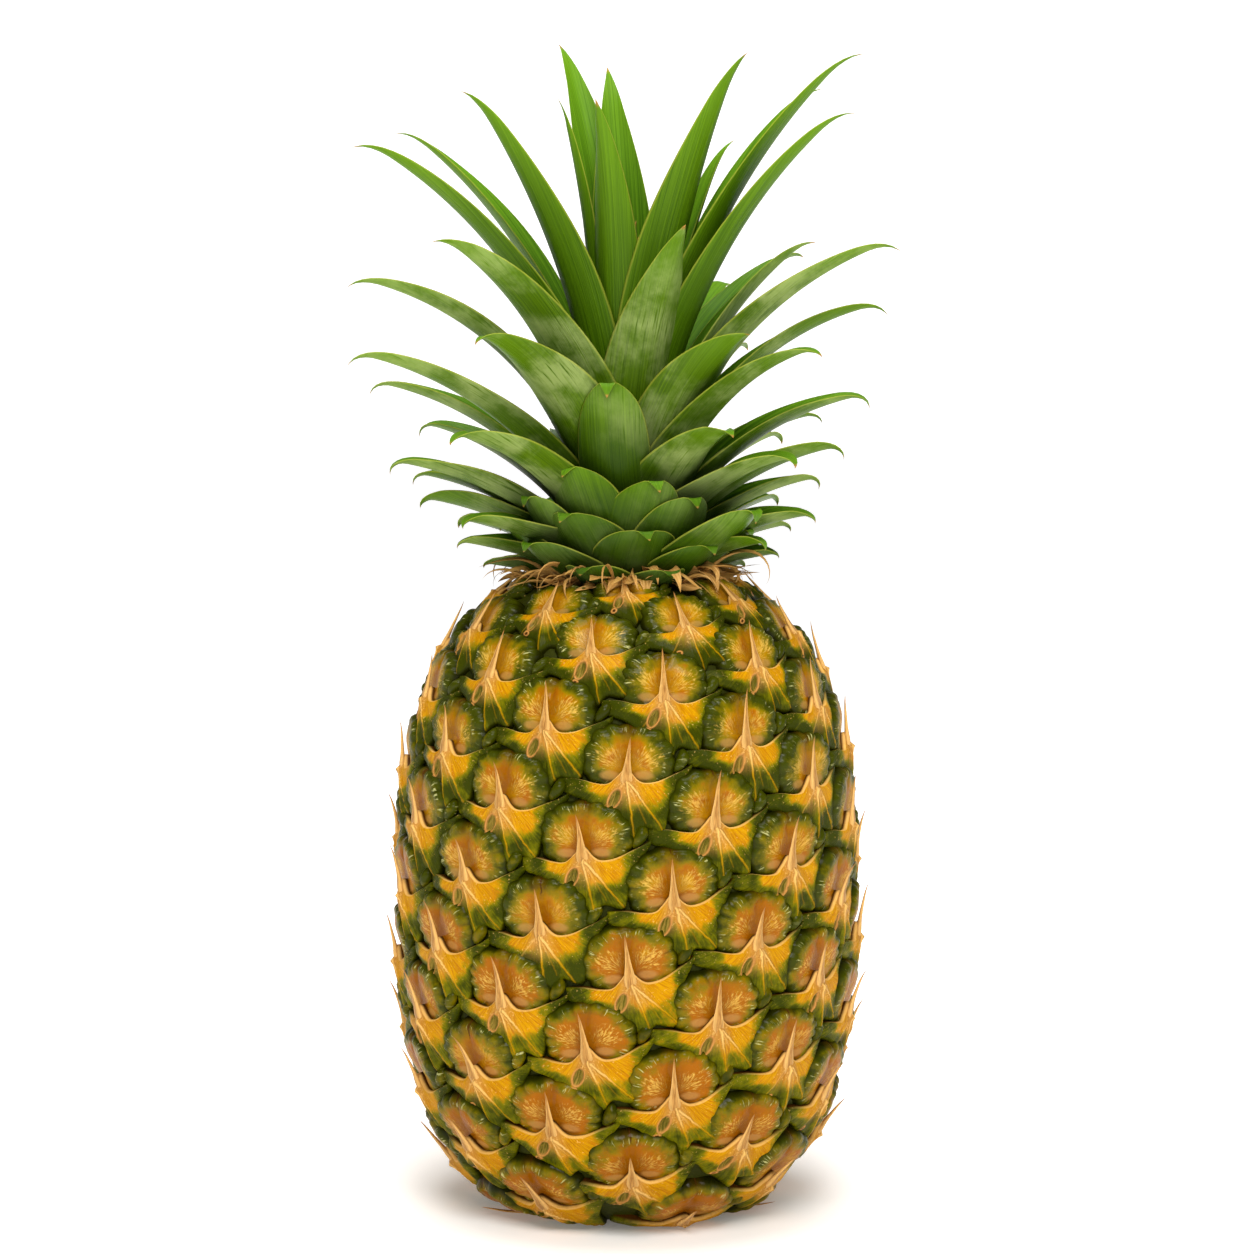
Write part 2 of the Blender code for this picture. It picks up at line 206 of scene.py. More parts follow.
# One object from copies of a template. Each copy holds where its vertices go, and marks for its material.
def makeCopies(name, template, copies, material, node):
    shape = bmesh.new()
    for _ in copies:
        shape.from_mesh(template)
    mesh = bpy.data.meshes.new(name)
    shape.to_mesh(mesh)
    shape.free()
    places = np.concatenate([points for points, _ in copies])
    mesh.vertices.foreach_set("co", (places * mm).ravel())
    for mark in copies[0][1]:
        values = np.concatenate([marks[mark] for _, marks in copies])
        kind, field = ("FLOAT_VECTOR", "vector") if values.ndim == 2 else ("FLOAT", "value")
        mesh.attributes.new(mark, kind, "POINT").data.foreach_set(field, values.ravel())
    mesh.update()
    mesh.shade_smooth()
    mesh.materials.append(material)
    piece = bpy.data.objects.new(name, mesh)
    bpy.context.scene.collection.objects.link(piece)
    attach(piece, "root")
    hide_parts(node)
    print("made", name, len(mesh.polygons), "faces")
    return piece


# Small helpers for materials. A socket takes the output of another node or a plain value.
def setSockets(tree, node, sockets):
    for key, value in sockets.items():
        if isinstance(value, bpy.types.NodeSocket):
            tree.links.new(value, node.inputs[key])
        else:
            node.inputs[key].default_value = value


def addNode(tree, kind, sockets=None, **settings):
    node = tree.nodes.new(kind)
    for name, value in settings.items():
        setattr(node, name, value)
    setSockets(tree, node, sockets or {})
    return node


def calc(tree, operation, a, b=0.0, c=0.0, clamp=False):
    node = addNode(tree, "ShaderNodeMath", {0: a, 1: b, 2: c}, operation=operation, use_clamp=clamp)
    return node.outputs[0]


def plus(tree, a, b):
    return calc(tree, "ADD", a, b)


def minus(tree, a, b):
    return calc(tree, "SUBTRACT", a, b)


def times(tree, a, b):
    return calc(tree, "MULTIPLY", a, b)


# a times b, plus c
def timesPlus(tree, a, b, c):
    return calc(tree, "MULTIPLY_ADD", a, b, c)


def larger(tree, a, b):
    return calc(tree, "MAXIMUM", a, b)


# How far x and y together lie from zero
def distance(tree, x, y):
    return calc(tree, "SQRT", timesPlus(tree, x, x, times(tree, y, y)))


# 0 below low and 1 above high, or the other way round where low is the larger
def rise(tree, value, low, high):
    sockets = {"Value": value, "From Min": low, "From Max": high}
    return addNode(tree, "ShaderNodeMapRange", sockets, interpolation_type="SMOOTHSTEP").outputs[0]


def mixColour(tree, factor, a, b, blend="MIX"):
    node = addNode(tree, "ShaderNodeMix", {0: factor, 6: a, 7: b}, data_type="RGBA", blend_type=blend)
    return node.outputs[2]


def noise(tree, vector, scale, detail=3.0, roughness=0.55):
    sockets = {"Vector": vector, "Scale": scale, "Detail": detail, "Roughness": roughness}
    return addNode(tree, "ShaderNodeTexNoise", sockets).outputs[0]


def readMark(tree, name):
    return addNode(tree, "ShaderNodeAttribute", attribute_name=name).outputs["Fac"]


# The three numbers of a mark
def splitMark(tree, name):
    mark = addNode(tree, "ShaderNodeAttribute", attribute_name=name).outputs["Vector"]
    return addNode(tree, "ShaderNodeSeparateXYZ", {0: mark}).outputs


def objectPlace(tree):
    return addNode(tree, "ShaderNodeTexCoord").outputs["Object"]


def combine(tree, x, y, z=0.0):
    return addNode(tree, "ShaderNodeCombineXYZ", {0: x, 1: y, 2: z}).outputs[0]


def ramp(tree, factor, stops):
    node = addNode(tree, "ShaderNodeValToRGB", {0: factor})
    band = node.color_ramp
    while len(band.elements) < len(stops):
        band.elements.new(0.5)
    for element, (position, colour) in zip(band.elements, stops):
        element.position = position
        element.color = (*colour, 1)
    return node.outputs[0]


# An oval patch, 1 inside and 0 outside, with its edge softened
def oval(tree, u, v, centre, size, soft=0.3):
    across = calc(tree, "DIVIDE", minus(tree, u, centre[0]), size[0])
    up = calc(tree, "DIVIDE", minus(tree, v, centre[1]), size[1])
    return rise(tree, distance(tree, across, up), 1 + soft, 1 - soft)


# Two such patches, each with its centre and size
def twoOvals(tree, u, v, left, right, soft):
    return larger(tree, oval(tree, u, v, *left, soft), oval(tree, u, v, *right, soft))


# A soft line between two places, 1 along its middle and 0 from its width on
def strip(tree, u, v, start, end, width):
    span = (end[0] - start[0], end[1] - start[1])
    length = math.hypot(*span)
    right = minus(tree, u, start[0])
    up = minus(tree, v, start[1])
    along = timesPlus(tree, right, span[0] / length, times(tree, up, span[1] / length))
    beyond = minus(tree, along, calc(tree, "MINIMUM", larger(tree, along, 0.0), length))
    aside = timesPlus(tree, right, span[1] / length, times(tree, up, -span[0] / length))
    return rise(tree, distance(tree, aside, beyond), width, 0.25 * width)


def newMaterial(name):
    material = bpy.data.materials.new(name)
    material.use_nodes = True
    tree = material.node_tree
    return material, tree, tree.nodes["Principled BSDF"]


# A group of nodes whose sockets hold numbers, apart from those named as vectors
def newGroup(name, inputs, outputs, vectors=()):
    group = bpy.data.node_groups.new(name, "ShaderNodeTree")
    for way, sockets in (("INPUT", inputs), ("OUTPUT", outputs)):
        for socket in sockets:
            kind = "NodeSocketVector" if socket in vectors else "NodeSocketFloat"
            group.interface.new_socket(socket, in_out=way, socket_type=kind)
    return group, group.nodes.new("NodeGroupInput").outputs, group.nodes.new("NodeGroupOutput").inputs


def useGroup(tree, group, sockets):
    return addNode(tree, "ShaderNodeGroup", sockets, node_tree=group).outputs


# Fine relief from a bump, its depth in metres
def setRelief(tree, shader, height, strength, depth):
    bump = addNode(tree, "ShaderNodeBump", {"Height": height, "Strength": strength, "Distance": depth})
    tree.links.new(bump.outputs[0], shader.inputs["Normal"])


# Fibres that run outwards from a point, as from the foot of each spine
def makeRayGroup():
    inputs = ("Across", "Up", "Seed", "Fineness", "Length")
    group, given, wanted = newGroup("raysFromPoint", inputs, ("Rays",))
    angle = calc(group, "ARCTAN2", given["Across"], given["Up"])
    away = distance(group, given["Across"], given["Up"])
    place = combine(group, times(group, angle, given["Fineness"]),
                    times(group, away, given["Length"]),
                    times(group, given["Seed"], 40.0))
    group.links.new(noise(group, place, 1.0, 4.0, 0.6), wanted["Rays"])
    return group


# Long fibres or veins: fine across, slow along
def makeFibreGroup():
    inputs = ("Across", "Along", "Seed", "Fineness", "Slowness")
    group, given, wanted = newGroup("longFibres", inputs, ("Fibres",))
    place = combine(group, times(group, given["Across"], given["Fineness"]),
                    times(group, given["Along"], given["Slowness"]),
                    times(group, given["Seed"], 30.0))
    group.links.new(noise(group, place, 1.0, 3.0, 0.6), wanted["Fibres"])
    return group


# How ripe the rind is: greener towards the crown, more orange below, and different from eye to eye
def makeRipenessGroup():
    inputs = ("Place", "Chance")
    group, given, wanted = newGroup("ripeness", inputs, ("Ripe", "Patches"), vectors=("Place",))
    height = addNode(group, "ShaderNodeSeparateXYZ", {0: given["Place"]}).outputs[2]
    fall = rise(group, height, 0.165, 0.03)
    patches = noise(group, given["Place"], 45.0, 2.0)
    blotches = noise(group, given["Place"], 260.0, 3.0)
    ripe = times(group, fall, 0.45)
    ripe = timesPlus(group, given["Chance"], 0.35, ripe)
    ripe = timesPlus(group, patches, 0.5, ripe)
    group.links.new(calc(group, "SUBTRACT", ripe, 0.12, clamp=True), wanted["Ripe"])
    group.links.new(blotches, wanted["Patches"])
    return group


rayGroup = makeRayGroup()
fibreGroup = makeFibreGroup()
ripenessGroup = makeRipenessGroup()

rindColours = {
    "groove": (0.012, 0.013, 0.0002, 1),
    "deepGreenAndShade": (0.037, 0.044, 0.0004, 1),
    "olive": (0.155, 0.120, 0.0006, 1),
    "orange": (0.31, 0.095, 0.0006, 1),
    "gold": (0.43, 0.205, 0.0006, 1),
    "straw": (0.69, 0.425, 0.075, 1),
    "glint": (0.62, 0.60, 0.24, 1),
    "cheek": (0.38, 0.20, 0.055, 1),
    "shade": (0.20, 0.065, 0.001, 1),
    "crease": (0.065, 0.022, 0.002, 1),
}


def fruitletMaterial():
    material, tree, shader = newMaterial("fruitletRind")
    local = splitMark(tree, "eyePlace")
    u, v, chance = local[0], local[1], local[2]
    rim = readMark(tree, "toRim")
    cleft = readMark(tree, "inCleft")
    place = objectPlace(tree)
    ripe = useGroup(tree, ripenessGroup, {"Place": place, "Chance": chance})

    # Green rim, olive shoulder and orange or golden middle, with wandering borders. The deep green of the
    # rim is partly painted shade, and the clefts between its lobes and its outer edge get painted groove
    # shade.
    wander = times(tree, minus(tree, ripe["Patches"], 0.5), 0.7)
    riper = times(tree, minus(tree, ripe["Ripe"], 0.4), 0.42)
    border = minus(tree, plus(tree, rim, wander), riper)
    golden = timesPlus(tree, minus(tree, 0.5, ripe["Ripe"]), 0.6, ripe["Patches"])
    warm = mixColour(tree, rise(tree, golden, 0.35, 0.65), rindColours["orange"], rindColours["gold"])
    colour = mixColour(tree, rise(tree, border, 0.34, 0.64), warm, rindColours["olive"])
    colour = mixColour(tree, rise(tree, border, 0.56, 0.80), colour, rindColours["deepGreenAndShade"])
    colour = mixColour(tree, times(tree, cleft, 0.6), colour, rindColours["groove"])
    colour = mixColour(tree, rise(tree, rim, 0.84, 0.96), colour, rindColours["groove"])

    # Bursts of straw-coloured dashes that fan out from the foot of the spine on both sides
    bursts = []
    for foot, middle in (((-1.2, 1.2), (-4.2, 3.9)), ((1.8, 1.2), (5.0, 4.1))):
        rays = useGroup(tree, rayGroup, {
            "Across": minus(tree, u, foot[0]), "Up": minus(tree, v, foot[1]),
            "Seed": chance, "Fineness": 13.0, "Length": 0.75,
        })["Rays"]
        near = oval(tree, u, v, middle, (3.7, 3.1), 0.9)
        fibres = timesPlus(tree, minus(tree, near, 0.7), 0.2, rays)
        bursts.append(times(tree, rise(tree, near, 0.0, 0.7), rise(tree, fibres, 0.46, 0.66)))
    burst = larger(tree, bursts[0], bursts[1])
    strength = timesPlus(tree, chance, 0.4, 0.35)
    colour = mixColour(tree, times(tree, burst, strength), colour, rindColours["straw"])

    # Painted shade, dark reddish brown, on the dome beneath and along the spine
    shade = oval(tree, u, v, (0.1, 4.5), (2.6, 6.2), 0.8)
    colour = mixColour(tree, times(tree, shade, 0.62), colour, rindColours["shade"])

    # A dull cheek on each side above the bract, with painted brown shade between it and the spine
    cheek = twoOvals(tree, u, v, ((-4.1, -0.7), (2.4, 1.15)), ((4.6, -0.2), (2.3, 1.15)), 0.35)
    wider = twoOvals(tree, u, v, ((-3.4, -1.05), (2.9, 1.55)), ((3.9, -0.55), (2.8, 1.55)), 0.4)
    line = calc(tree, "SUBTRACT", wider, cheek, clamp=True)
    colour = mixColour(tree, times(tree, line, 0.6), colour, rindColours["crease"])
    colour = mixColour(tree, times(tree, cheek, 0.6), colour, rindColours["cheek"])

    # The slit at the top of the dome, longer on some eyes
    sway = times(tree, minus(tree, noise(tree, place, 500.0), 0.5), 1.8)
    aside = calc(tree, "ABSOLUTE", plus(tree, minus(tree, u, 0.4), sway))
    above = minus(tree, v, timesPlus(tree, chance, 4.5, 7.6))
    slit = times(tree, rise(tree, aside, 0.36, 0.08), rise(tree, above, 0.0, 1.5))
    colour = mixColour(tree, times(tree, slit, 0.85), colour, rindColours["crease"])

    # Painted highlights: short pale dashes side by side on the rim
    wrinkles = useGroup(tree, rayGroup, {
        "Across": u, "Up": minus(tree, v, 3.0),
        "Seed": chance, "Fineness": 21.0, "Length": 0.25,
    })["Rays"]
    band = times(tree, rise(tree, rim, 0.64, 0.72), rise(tree, rim, 0.88, 0.80))
    rimGlints = times(tree, band, rise(tree, wrinkles, 0.57, 0.65))
    rimGlints = times(tree, rimGlints, rise(tree, noise(tree, place, 330.0, 1.0), 0.44, 0.56))
    colour = mixColour(tree, times(tree, rimGlints, 0.62), colour, rindColours["glint"])

    rough = timesPlus(tree, ripe["Patches"], 0.25, 0.22)
    setSockets(tree, shader, {
        "Base Color": colour,
        "Roughness": timesPlus(tree, cheek, 0.25, rough),
        "Specular IOR Level": 0.02,
        "Coat Weight": 0.11,
        "Coat Roughness": 0.08,
    })
    grain = times(tree, noise(tree, place, 800.0, 2.0), 0.6)
    relief = timesPlus(tree, times(tree, band, wrinkles), 0.9, grain)
    relief = timesPlus(tree, burst, 0.3, relief)
    relief = minus(tree, relief, plus(tree, slit, times(tree, line, 0.6)))
    setRelief(tree, shader, relief, 0.6, 0.0007)
    return material


bractColours = {
    "gold": (0.56, 0.272, 0.0006, 1),
    "amber": (0.42, 0.155, 0.0006, 1),
    "green": (0.145, 0.137, 0.0006, 1),
    "deepGreenAndShade": (0.032, 0.039, 0.0003, 1),
    "tan": (0.47, 0.22, 0.055, 1),
    "cream": (0.84, 0.50, 0.14, 1),
    "pit": (0.10, 0.085, 0.006, 1),
    "pitStripe": (0.28, 0.19, 0.03, 1),
    "pitRim": (0.56, 0.25, 0.06, 1),
}


def bractMaterial():
    material, tree, shader = newMaterial("bractRind")
    local = splitMark(tree, "eyePlace")
    u, v, chance = local[0], local[1], local[2]
    down = readMark(tree, "downSheet")
    ridge = readMark(tree, "onRidge")
    place = objectPlace(tree)
    ripe = useGroup(tree, ripenessGroup, {"Place": place, "Chance": chance})
    rays = useGroup(tree, rayGroup, {
        "Across": minus(tree, u, 0.2), "Up": minus(tree, v, 2.5),
        "Seed": chance, "Fineness": 34.0, "Length": 0.2,
    })["Rays"]
    depth = times(tree, v, -1.0)

    # Golden sheet, green towards the ends of its wings and its lower edges. It is more golden along its
    # ridges, partly as painted highlight, and its deep green at the lower edges is partly painted shade.
    away = calc(tree, "ABSOLUTE", minus(tree, u, 0.8))
    green = larger(tree, rise(tree, away, 5.0, 13.0), rise(tree, down, 0.08, 0.66))
    green = timesPlus(tree, minus(tree, ripe["Patches"], 0.5), 0.9, green)
    green = timesPlus(tree, minus(tree, rays, 0.5), 0.5, green)
    riper = times(tree, minus(tree, ripe["Ripe"], 0.45), 0.5)
    green = minus(tree, minus(tree, green, riper), times(tree, ridge, 0.22))
    gold = mixColour(tree, rise(tree, rays, 0.36, 0.62), bractColours["amber"], bractColours["gold"])
    colour = mixColour(tree, rise(tree, green, 0.30, 0.70), gold, bractColours["green"])
    colour = mixColour(tree, rise(tree, green, 0.56, 1.00), colour, bractColours["deepGreenAndShade"])

    # Tan fibres that fan out below the spine, and fine pale specks
    width = timesPlus(tree, larger(tree, depth, 0.0), 0.46, 2.3)
    fan = calc(tree, "DIVIDE", calc(tree, "ABSOLUTE", minus(tree, u, 0.3)), width)
    fan = times(tree, rise(tree, fan, 1.2, 0.2), rise(tree, depth, 10.5, 2.5))
    fan = times(tree, fan, timesPlus(tree, rise(tree, rays, 0.3, 0.6), 0.5, 0.4))
    colour = mixColour(tree, fan, colour, bractColours["tan"])
    specks = rise(tree, timesPlus(tree, fan, 0.14, noise(tree, place, 1700.0, 1.0)), 0.64, 0.76)
    specks = times(tree, specks, rise(tree, down, 0.7, 0.4))
    colour = mixColour(tree, times(tree, specks, 0.4), colour, bractColours["cream"])

    # Thin pale lines along its ridges, turning golden further down as painted highlight on their crests, and
    # its pale upper edge
    swing = times(tree, minus(tree, chance, 0.5), bract["ridgeSwing"])
    swing = times(tree, swing, larger(tree, minus(tree, depth, 2.0), 0.0))
    wander = times(tree, minus(tree, noise(tree, place, 420.0, 2.0), 0.5), 0.9)
    swung = plus(tree, minus(tree, u, swing), wander)
    lines = 0.0
    for start, end, _, clearness in bract["ridges"]:
        if clearness:
            line = strip(tree, swung, v, start, end, 0.3 + 0.14 * clearness)
            lines = larger(tree, lines, times(tree, line, clearness))
    pale = mixColour(tree, rise(tree, depth, 5.0, 9.5), bractColours["cream"], bractColours["gold"])
    clear = timesPlus(tree, rise(tree, depth, 14.5, 6.0), 0.55, 0.3)
    colour = mixColour(tree, times(tree, lines, clear), colour, pale)
    flare = times(tree, rise(tree, depth, 2.8, 0.0), rise(tree, away, 4.6, 2.2))
    colour = mixColour(tree, times(tree, flare, 0.85), colour, bractColours["tan"])
    edge = times(tree, rise(tree, down, 0.035, 0.01), rise(tree, away, 16.0, 5.0))
    colour = mixColour(tree, times(tree, edge, 0.7), colour, bractColours["cream"])
    # Painted shade where the upper edge rolls under into the dome
    colour = mixColour(tree, rise(tree, down, -0.005, -0.03), colour, rindColours["crease"])

    # A dried pit at the lower left of some bracts, with a scar below it
    has = rise(tree, chance, 0.40, 0.44)
    aside = minus(tree, u, bract["pit"][0])
    above = minus(tree, v, bract["pit"][1])
    aside = timesPlus(tree, above, -bract["pitSlant"], aside)
    half = bract["pitHalf"]
    pitRim = oval(tree, aside, above, (0, 0), (half[0] + 0.5, half[1] + 0.55), 0.12)
    pit = times(tree, oval(tree, aside, above, (0, 0), half, 0.2), has)
    scarRim = oval(tree, aside, above, (-0.7, -3.6), (1.15, 0.9), 0.2)
    scar = oval(tree, aside, above, (-0.7, -3.6), (0.5, 0.4), 0.4)
    rims = larger(tree, times(tree, pitRim, has), scarRim)
    colour = mixColour(tree, times(tree, rims, 0.95), colour, bractColours["pitRim"])
    inPit = mixColour(tree, rise(tree, rays, 0.4, 0.6), bractColours["pit"], bractColours["pitStripe"])
    colour = mixColour(tree, pit, colour, inPit)
    colour = mixColour(tree, scar, colour, rindColours["crease"])
    # Painted groove shade where the sheet rolls down into the groove
    colour = mixColour(tree, rise(tree, down, 0.90, 0.99), colour, rindColours["groove"])

    setSockets(tree, shader, {
        "Base Color": colour,
        "Roughness": timesPlus(tree, rays, 0.3, 0.28),
        "Specular IOR Level": 0.02,
        "Coat Weight": 0.035,
        "Coat Roughness": 0.14,
    })
    grain = noise(tree, place, 1100.0, 2.0)
    relief = timesPlus(tree, grain, 0.35, times(tree, rays, 0.8))
    relief = timesPlus(tree, lines, 1.1, relief)
    relief = timesPlus(tree, rims, 0.8, relief)
    relief = minus(tree, relief, times(tree, larger(tree, pit, scar), 1.4))
    setRelief(tree, shader, relief, 0.7, 0.0007)
    return material


huskColours = {
    "brown": (0.30, 0.125, 0.022, 1),
    "tan": (0.56, 0.285, 0.07, 1),
    "pale": (0.86, 0.53, 0.17, 1),
    "tip": (0.34, 0.14, 0.03, 1),
}


def spineMaterial():
    material, tree, shader = newMaterial("spineHusk")
    local = splitMark(tree, "eyePlace")
    along = readMark(tree, "alongSpine")
    ridge = readMark(tree, "onRidge")
    fibres = useGroup(tree, fibreGroup, {
        "Across": local[0], "Along": local[1], "Seed": local[2], "Fineness": 6.0, "Slowness": 0.35,
    })["Fibres"]
    colour = mixColour(tree, rise(tree, fibres, 0.36, 0.62), huskColours["brown"], huskColours["tan"])
    colour = mixColour(tree, times(tree, ridge, 0.75), colour, huskColours["pale"])
    colour = mixColour(tree, rise(tree, along, 0.72, 1.0), colour, huskColours["tip"])
    setSockets(tree, shader, {"Base Color": colour, "Roughness": 0.5, "Specular IOR Level": 0.15})
    setRelief(tree, shader, fibres, 0.8, 0.0005)
    return material


def grooveMaterial():
    material, tree, shader = newMaterial("grooveSkin")
    place = objectPlace(tree)
    patches = noise(tree, place, 300.0, 4.0)
    # Painted shade: near-black skin at the bottom of the grooves, in patches of deep green
    colour = mixColour(tree, patches, rindColours["groove"], rindColours["deepGreenAndShade"])
    setSockets(tree, shader, {"Base Color": colour, "Roughness": 0.6, "Specular IOR Level": 0.1})
    setRelief(tree, shader, patches, 0.6, 0.0008)
    return material


# Skin at the bottom of the grooves, closed above and below
skinShape = {"columns": 150, "rows": 110, "sink": 0.3, "bottom": -2.0, "top": 168.9}


def makeGrooveSkin():
    template, flat = tubeTemplate(skinShape["columns"], skinShape["rows"])
    turn = np.arctan2(flat[:, 1], flat[:, 0])
    bottom, top = np.interp([skinShape["bottom"], skinShape["top"]], outline["height"], outline["arc"])
    last = skinShape["rows"] - 1   # the first and the last row close the ends
    arc = bottom + (top - bottom) * np.clip((flat[:, 2] * (last + 1) - 1) / (last - 1), 0, 1)
    points = onSkin(turn, arc, -skinShape["sink"])
    ends = np.hypot(flat[:, 0], flat[:, 1]) < 0.5
    points[ends, :2] = 0
    makeCopies("fruitGrooves", template, [(points, {})], grooveMaterial(), "fruit")


fruitlet = {
    "spokes": 72,
    "rings": 15,
    "centre": (0.6, 3.4),
    "halfWidth": 12.7,
    "above": 9.9,
    "below": 9.5,
    "squareness": 2.45,
    "depth": 1.0,   # of its rim, below the grooves
    "height": 3.5,
    "lean": 0.46,   # share of its height that is left beside the bract
    "lobes": 15,
    "lobeHeight": 0.75,
}


# What each vertex of an eye tells its material: its place on the eye, and the eye's own chance
def eyeMark(eye, u, v):
    return np.stack([u, v, np.full_like(u, eye["chance"])], -1)


def fruitletCopy(eye, flat):
    away = np.hypot(flat[:, 0], flat[:, 1])
    turn = np.arctan2(flat[:, 1], flat[:, 0])
    drift = 0.7 * np.sin(2 * turn + eye["phase"]) + 0.5 * np.sin(3 * turn + 2 * eye["phase"])
    lobe = np.abs(np.cos(0.5 * fruitlet["lobes"] * turn + drift))
    scallop = 1 + 0.05 * (lobe - 0.6) + 0.02 * np.sin(5 * turn + eye["phase"])
    power = fruitlet["squareness"]
    square = (np.abs(np.cos(turn)) ** power + np.abs(np.sin(turn)) ** power) ** (-1 / power)
    reach = away * (1 + (scallop * square - 1) * smoothStep(away, 0.2, 0.9))
    u = fruitlet["centre"][0] + fruitlet["halfWidth"] * reach * np.cos(turn)
    tall = np.where(flat[:, 1] > 0, fruitlet["above"], fruitlet["below"])
    v = fruitlet["centre"][1] + tall * reach * np.sin(turn)

    lean = fruitlet["lean"] + (1 - fruitlet["lean"]) * smoothStep(v, -3.0, 8.0)
    band = smoothStep(away, 0.58, 0.8)
    height = fruitlet["height"] * lean
    height = height - 1.1 * np.exp(-((u - 0.5) / 4.6) ** 2 - ((v - 3.4) / 5.0) ** 2)
    for side in (-5.4, 6.4):
        height = height + 0.45 * np.exp(-((u - side) / 3.2) ** 2 - ((v - 5.0) / 3.6) ** 2)
    height = height + 0.5 * np.exp(-((away - 0.8) / 0.13) ** 2) * lean
    height = height + fruitlet["lobeHeight"] * (lobe - 0.6) * band * lean
    crease = np.exp(-((u - 0.4 + 0.4 * np.sin(v)) / 0.9) ** 2) * smoothStep(v, 5.0, 9.0)
    height = height - (0.4 + 0.6 * eye["chance"]) * crease
    profile = np.sqrt(np.clip(1 - away ** 6, 0, 1))
    lift = -fruitlet["depth"] + (height + fruitlet["depth"]) * profile
    cleft = np.clip(1 - lobe / 0.45, 0, 1) * band
    return onEye(eye, u, v, lift), {"eyePlace": eyeMark(eye, u, v), "toRim": away, "inCleft": cleft}


def makeFruitlets():
    template, flat = discTemplate(fruitlet["spokes"], fruitlet["rings"])
    material = fruitletMaterial()
    half = len(eyes) // 2
    for name, some in (("fruitletsLower", eyes[:half]), ("fruitletsUpper", eyes[half:])):
        makeCopies(name, template, [fruitletCopy(eye, flat) for eye in some], material, "fruit")
    return material


# A small curled lobe lies at the right end of each bract
wingLobe = {
    "around": 8,
    "rows": 8,
    "line": ((12.6, 0.6, 0.6), (13.6, 2.6, 1.2), (14.5, 5.0, 1.1), (14.3, 7.4, 0.0)),
    "radius": (0.5, 1.6, 1.7, 0.5),
}


def makeWingLobes(material):
    template, flat = tubeTemplate(wingLobe["around"], wingLobe["rows"])
    line = throughKnots(wingLobe["line"], flat[:, 2])
    radius = throughKnots(wingLobe["radius"], flat[:, 2])
    copies = []
    for eye in eyes:
        u = line[:, 0] + radius * flat[:, 0] + (eye["chance"] - 0.5)
        v = line[:, 1] + (eye["chance"] - 0.5)
        rim = np.full_like(u, 0.78 + 0.12 * eye["chance"])
        marks = {"eyePlace": eyeMark(eye, u, v), "toRim": rim, "inCleft": np.zeros_like(u)}
        copies.append((onEye(eye, u, v, line[:, 2] - radius * flat[:, 1]), marks))
    makeCopies("fruitWingLobes", template, copies, material, "fruit")


# The bract's sheet runs from its upper edge to its lower edge, with matching knots from left to right
bract = {
    "columns": 46,
    "rows": 17,
    "upperEdge": ((-16.6, -2.4), (-15.2, -2.3), (-11.5, -2.3), (-7.5, -3.0), (-4.4, -2.9), (-2.4, -1.2),
                  (0.1, 1.3), (2.6, -1.1), (4.6, -2.1), (7.9, -1.6), (11.5, 0.1), (15.2, 2.0), (17.4, 3.5)),
    "lowerEdge": ((-16.6, -5.6), (-15.0, -6.6), (-11.8, -7.4), (-9.0, -8.6), (-6.6, -11.0), (-3.2, -12.8),
                  (0.4, -15.2), (2.9, -17.2), (5.4, -14.2), (10.6, -15.0), (11.9, -8.2), (14.0, -3.2),
                  (17.7, 2.6)),
    "upperLift": (0.7, 1.3, 2.2, 2.6, 2.8, 2.9, 3.1, 3.0, 2.9, 2.7, 2.4, 2.0, 1.6),
    "lowerLift": (0.4, 0.7, 1.3, 1.6, 1.5, 1.5, 1.5, 1.4, 1.2, 1.4, 1.4, 1.2, 0.9),
    "bulge": 0.5,
    # start and end of each, its height, and how clear the pale line along it is
    "ridges": (((0.3, -2.0), (2.8, -16.4), 1.1, 1.0), ((1.0, -2.5), (10.2, -14.2), 1.2, 1.0),
               ((-0.8, -3.0), (-6.2, -10.4), 0.5, 0.35), ((0.8, -3.0), (5.6, -12.4), 0.3, 0.3),
               ((-1.5, -3.2), (-14.5, -5.4), 0.35, 0.0), ((2.0, -3.0), (13.5, -4.0), 0.3, 0.0)),
    "ridgeWidth": 0.65,
    "ridgeSwing": 0.3,   # how far they swing from eye to eye, as a share of their depth
    "pit": (-2.4, -6.6),
    "pitHalf": (1.2, 2.3),
    "pitSlant": 0.3,
    "pitDepth": 1.1,
    "pitsAbove": 0.42,   # the chance from which on an eye has a pit
}


def distanceToLine(u, v, start, end):
    along = np.array(end) - np.array(start)
    t = ((u - start[0]) * along[0] + (v - start[1]) * along[1]) / (along @ along)
    t = np.clip(t, 0, 1)
    return np.hypot(u - start[0] - t * along[0], v - start[1] - t * along[1]), t


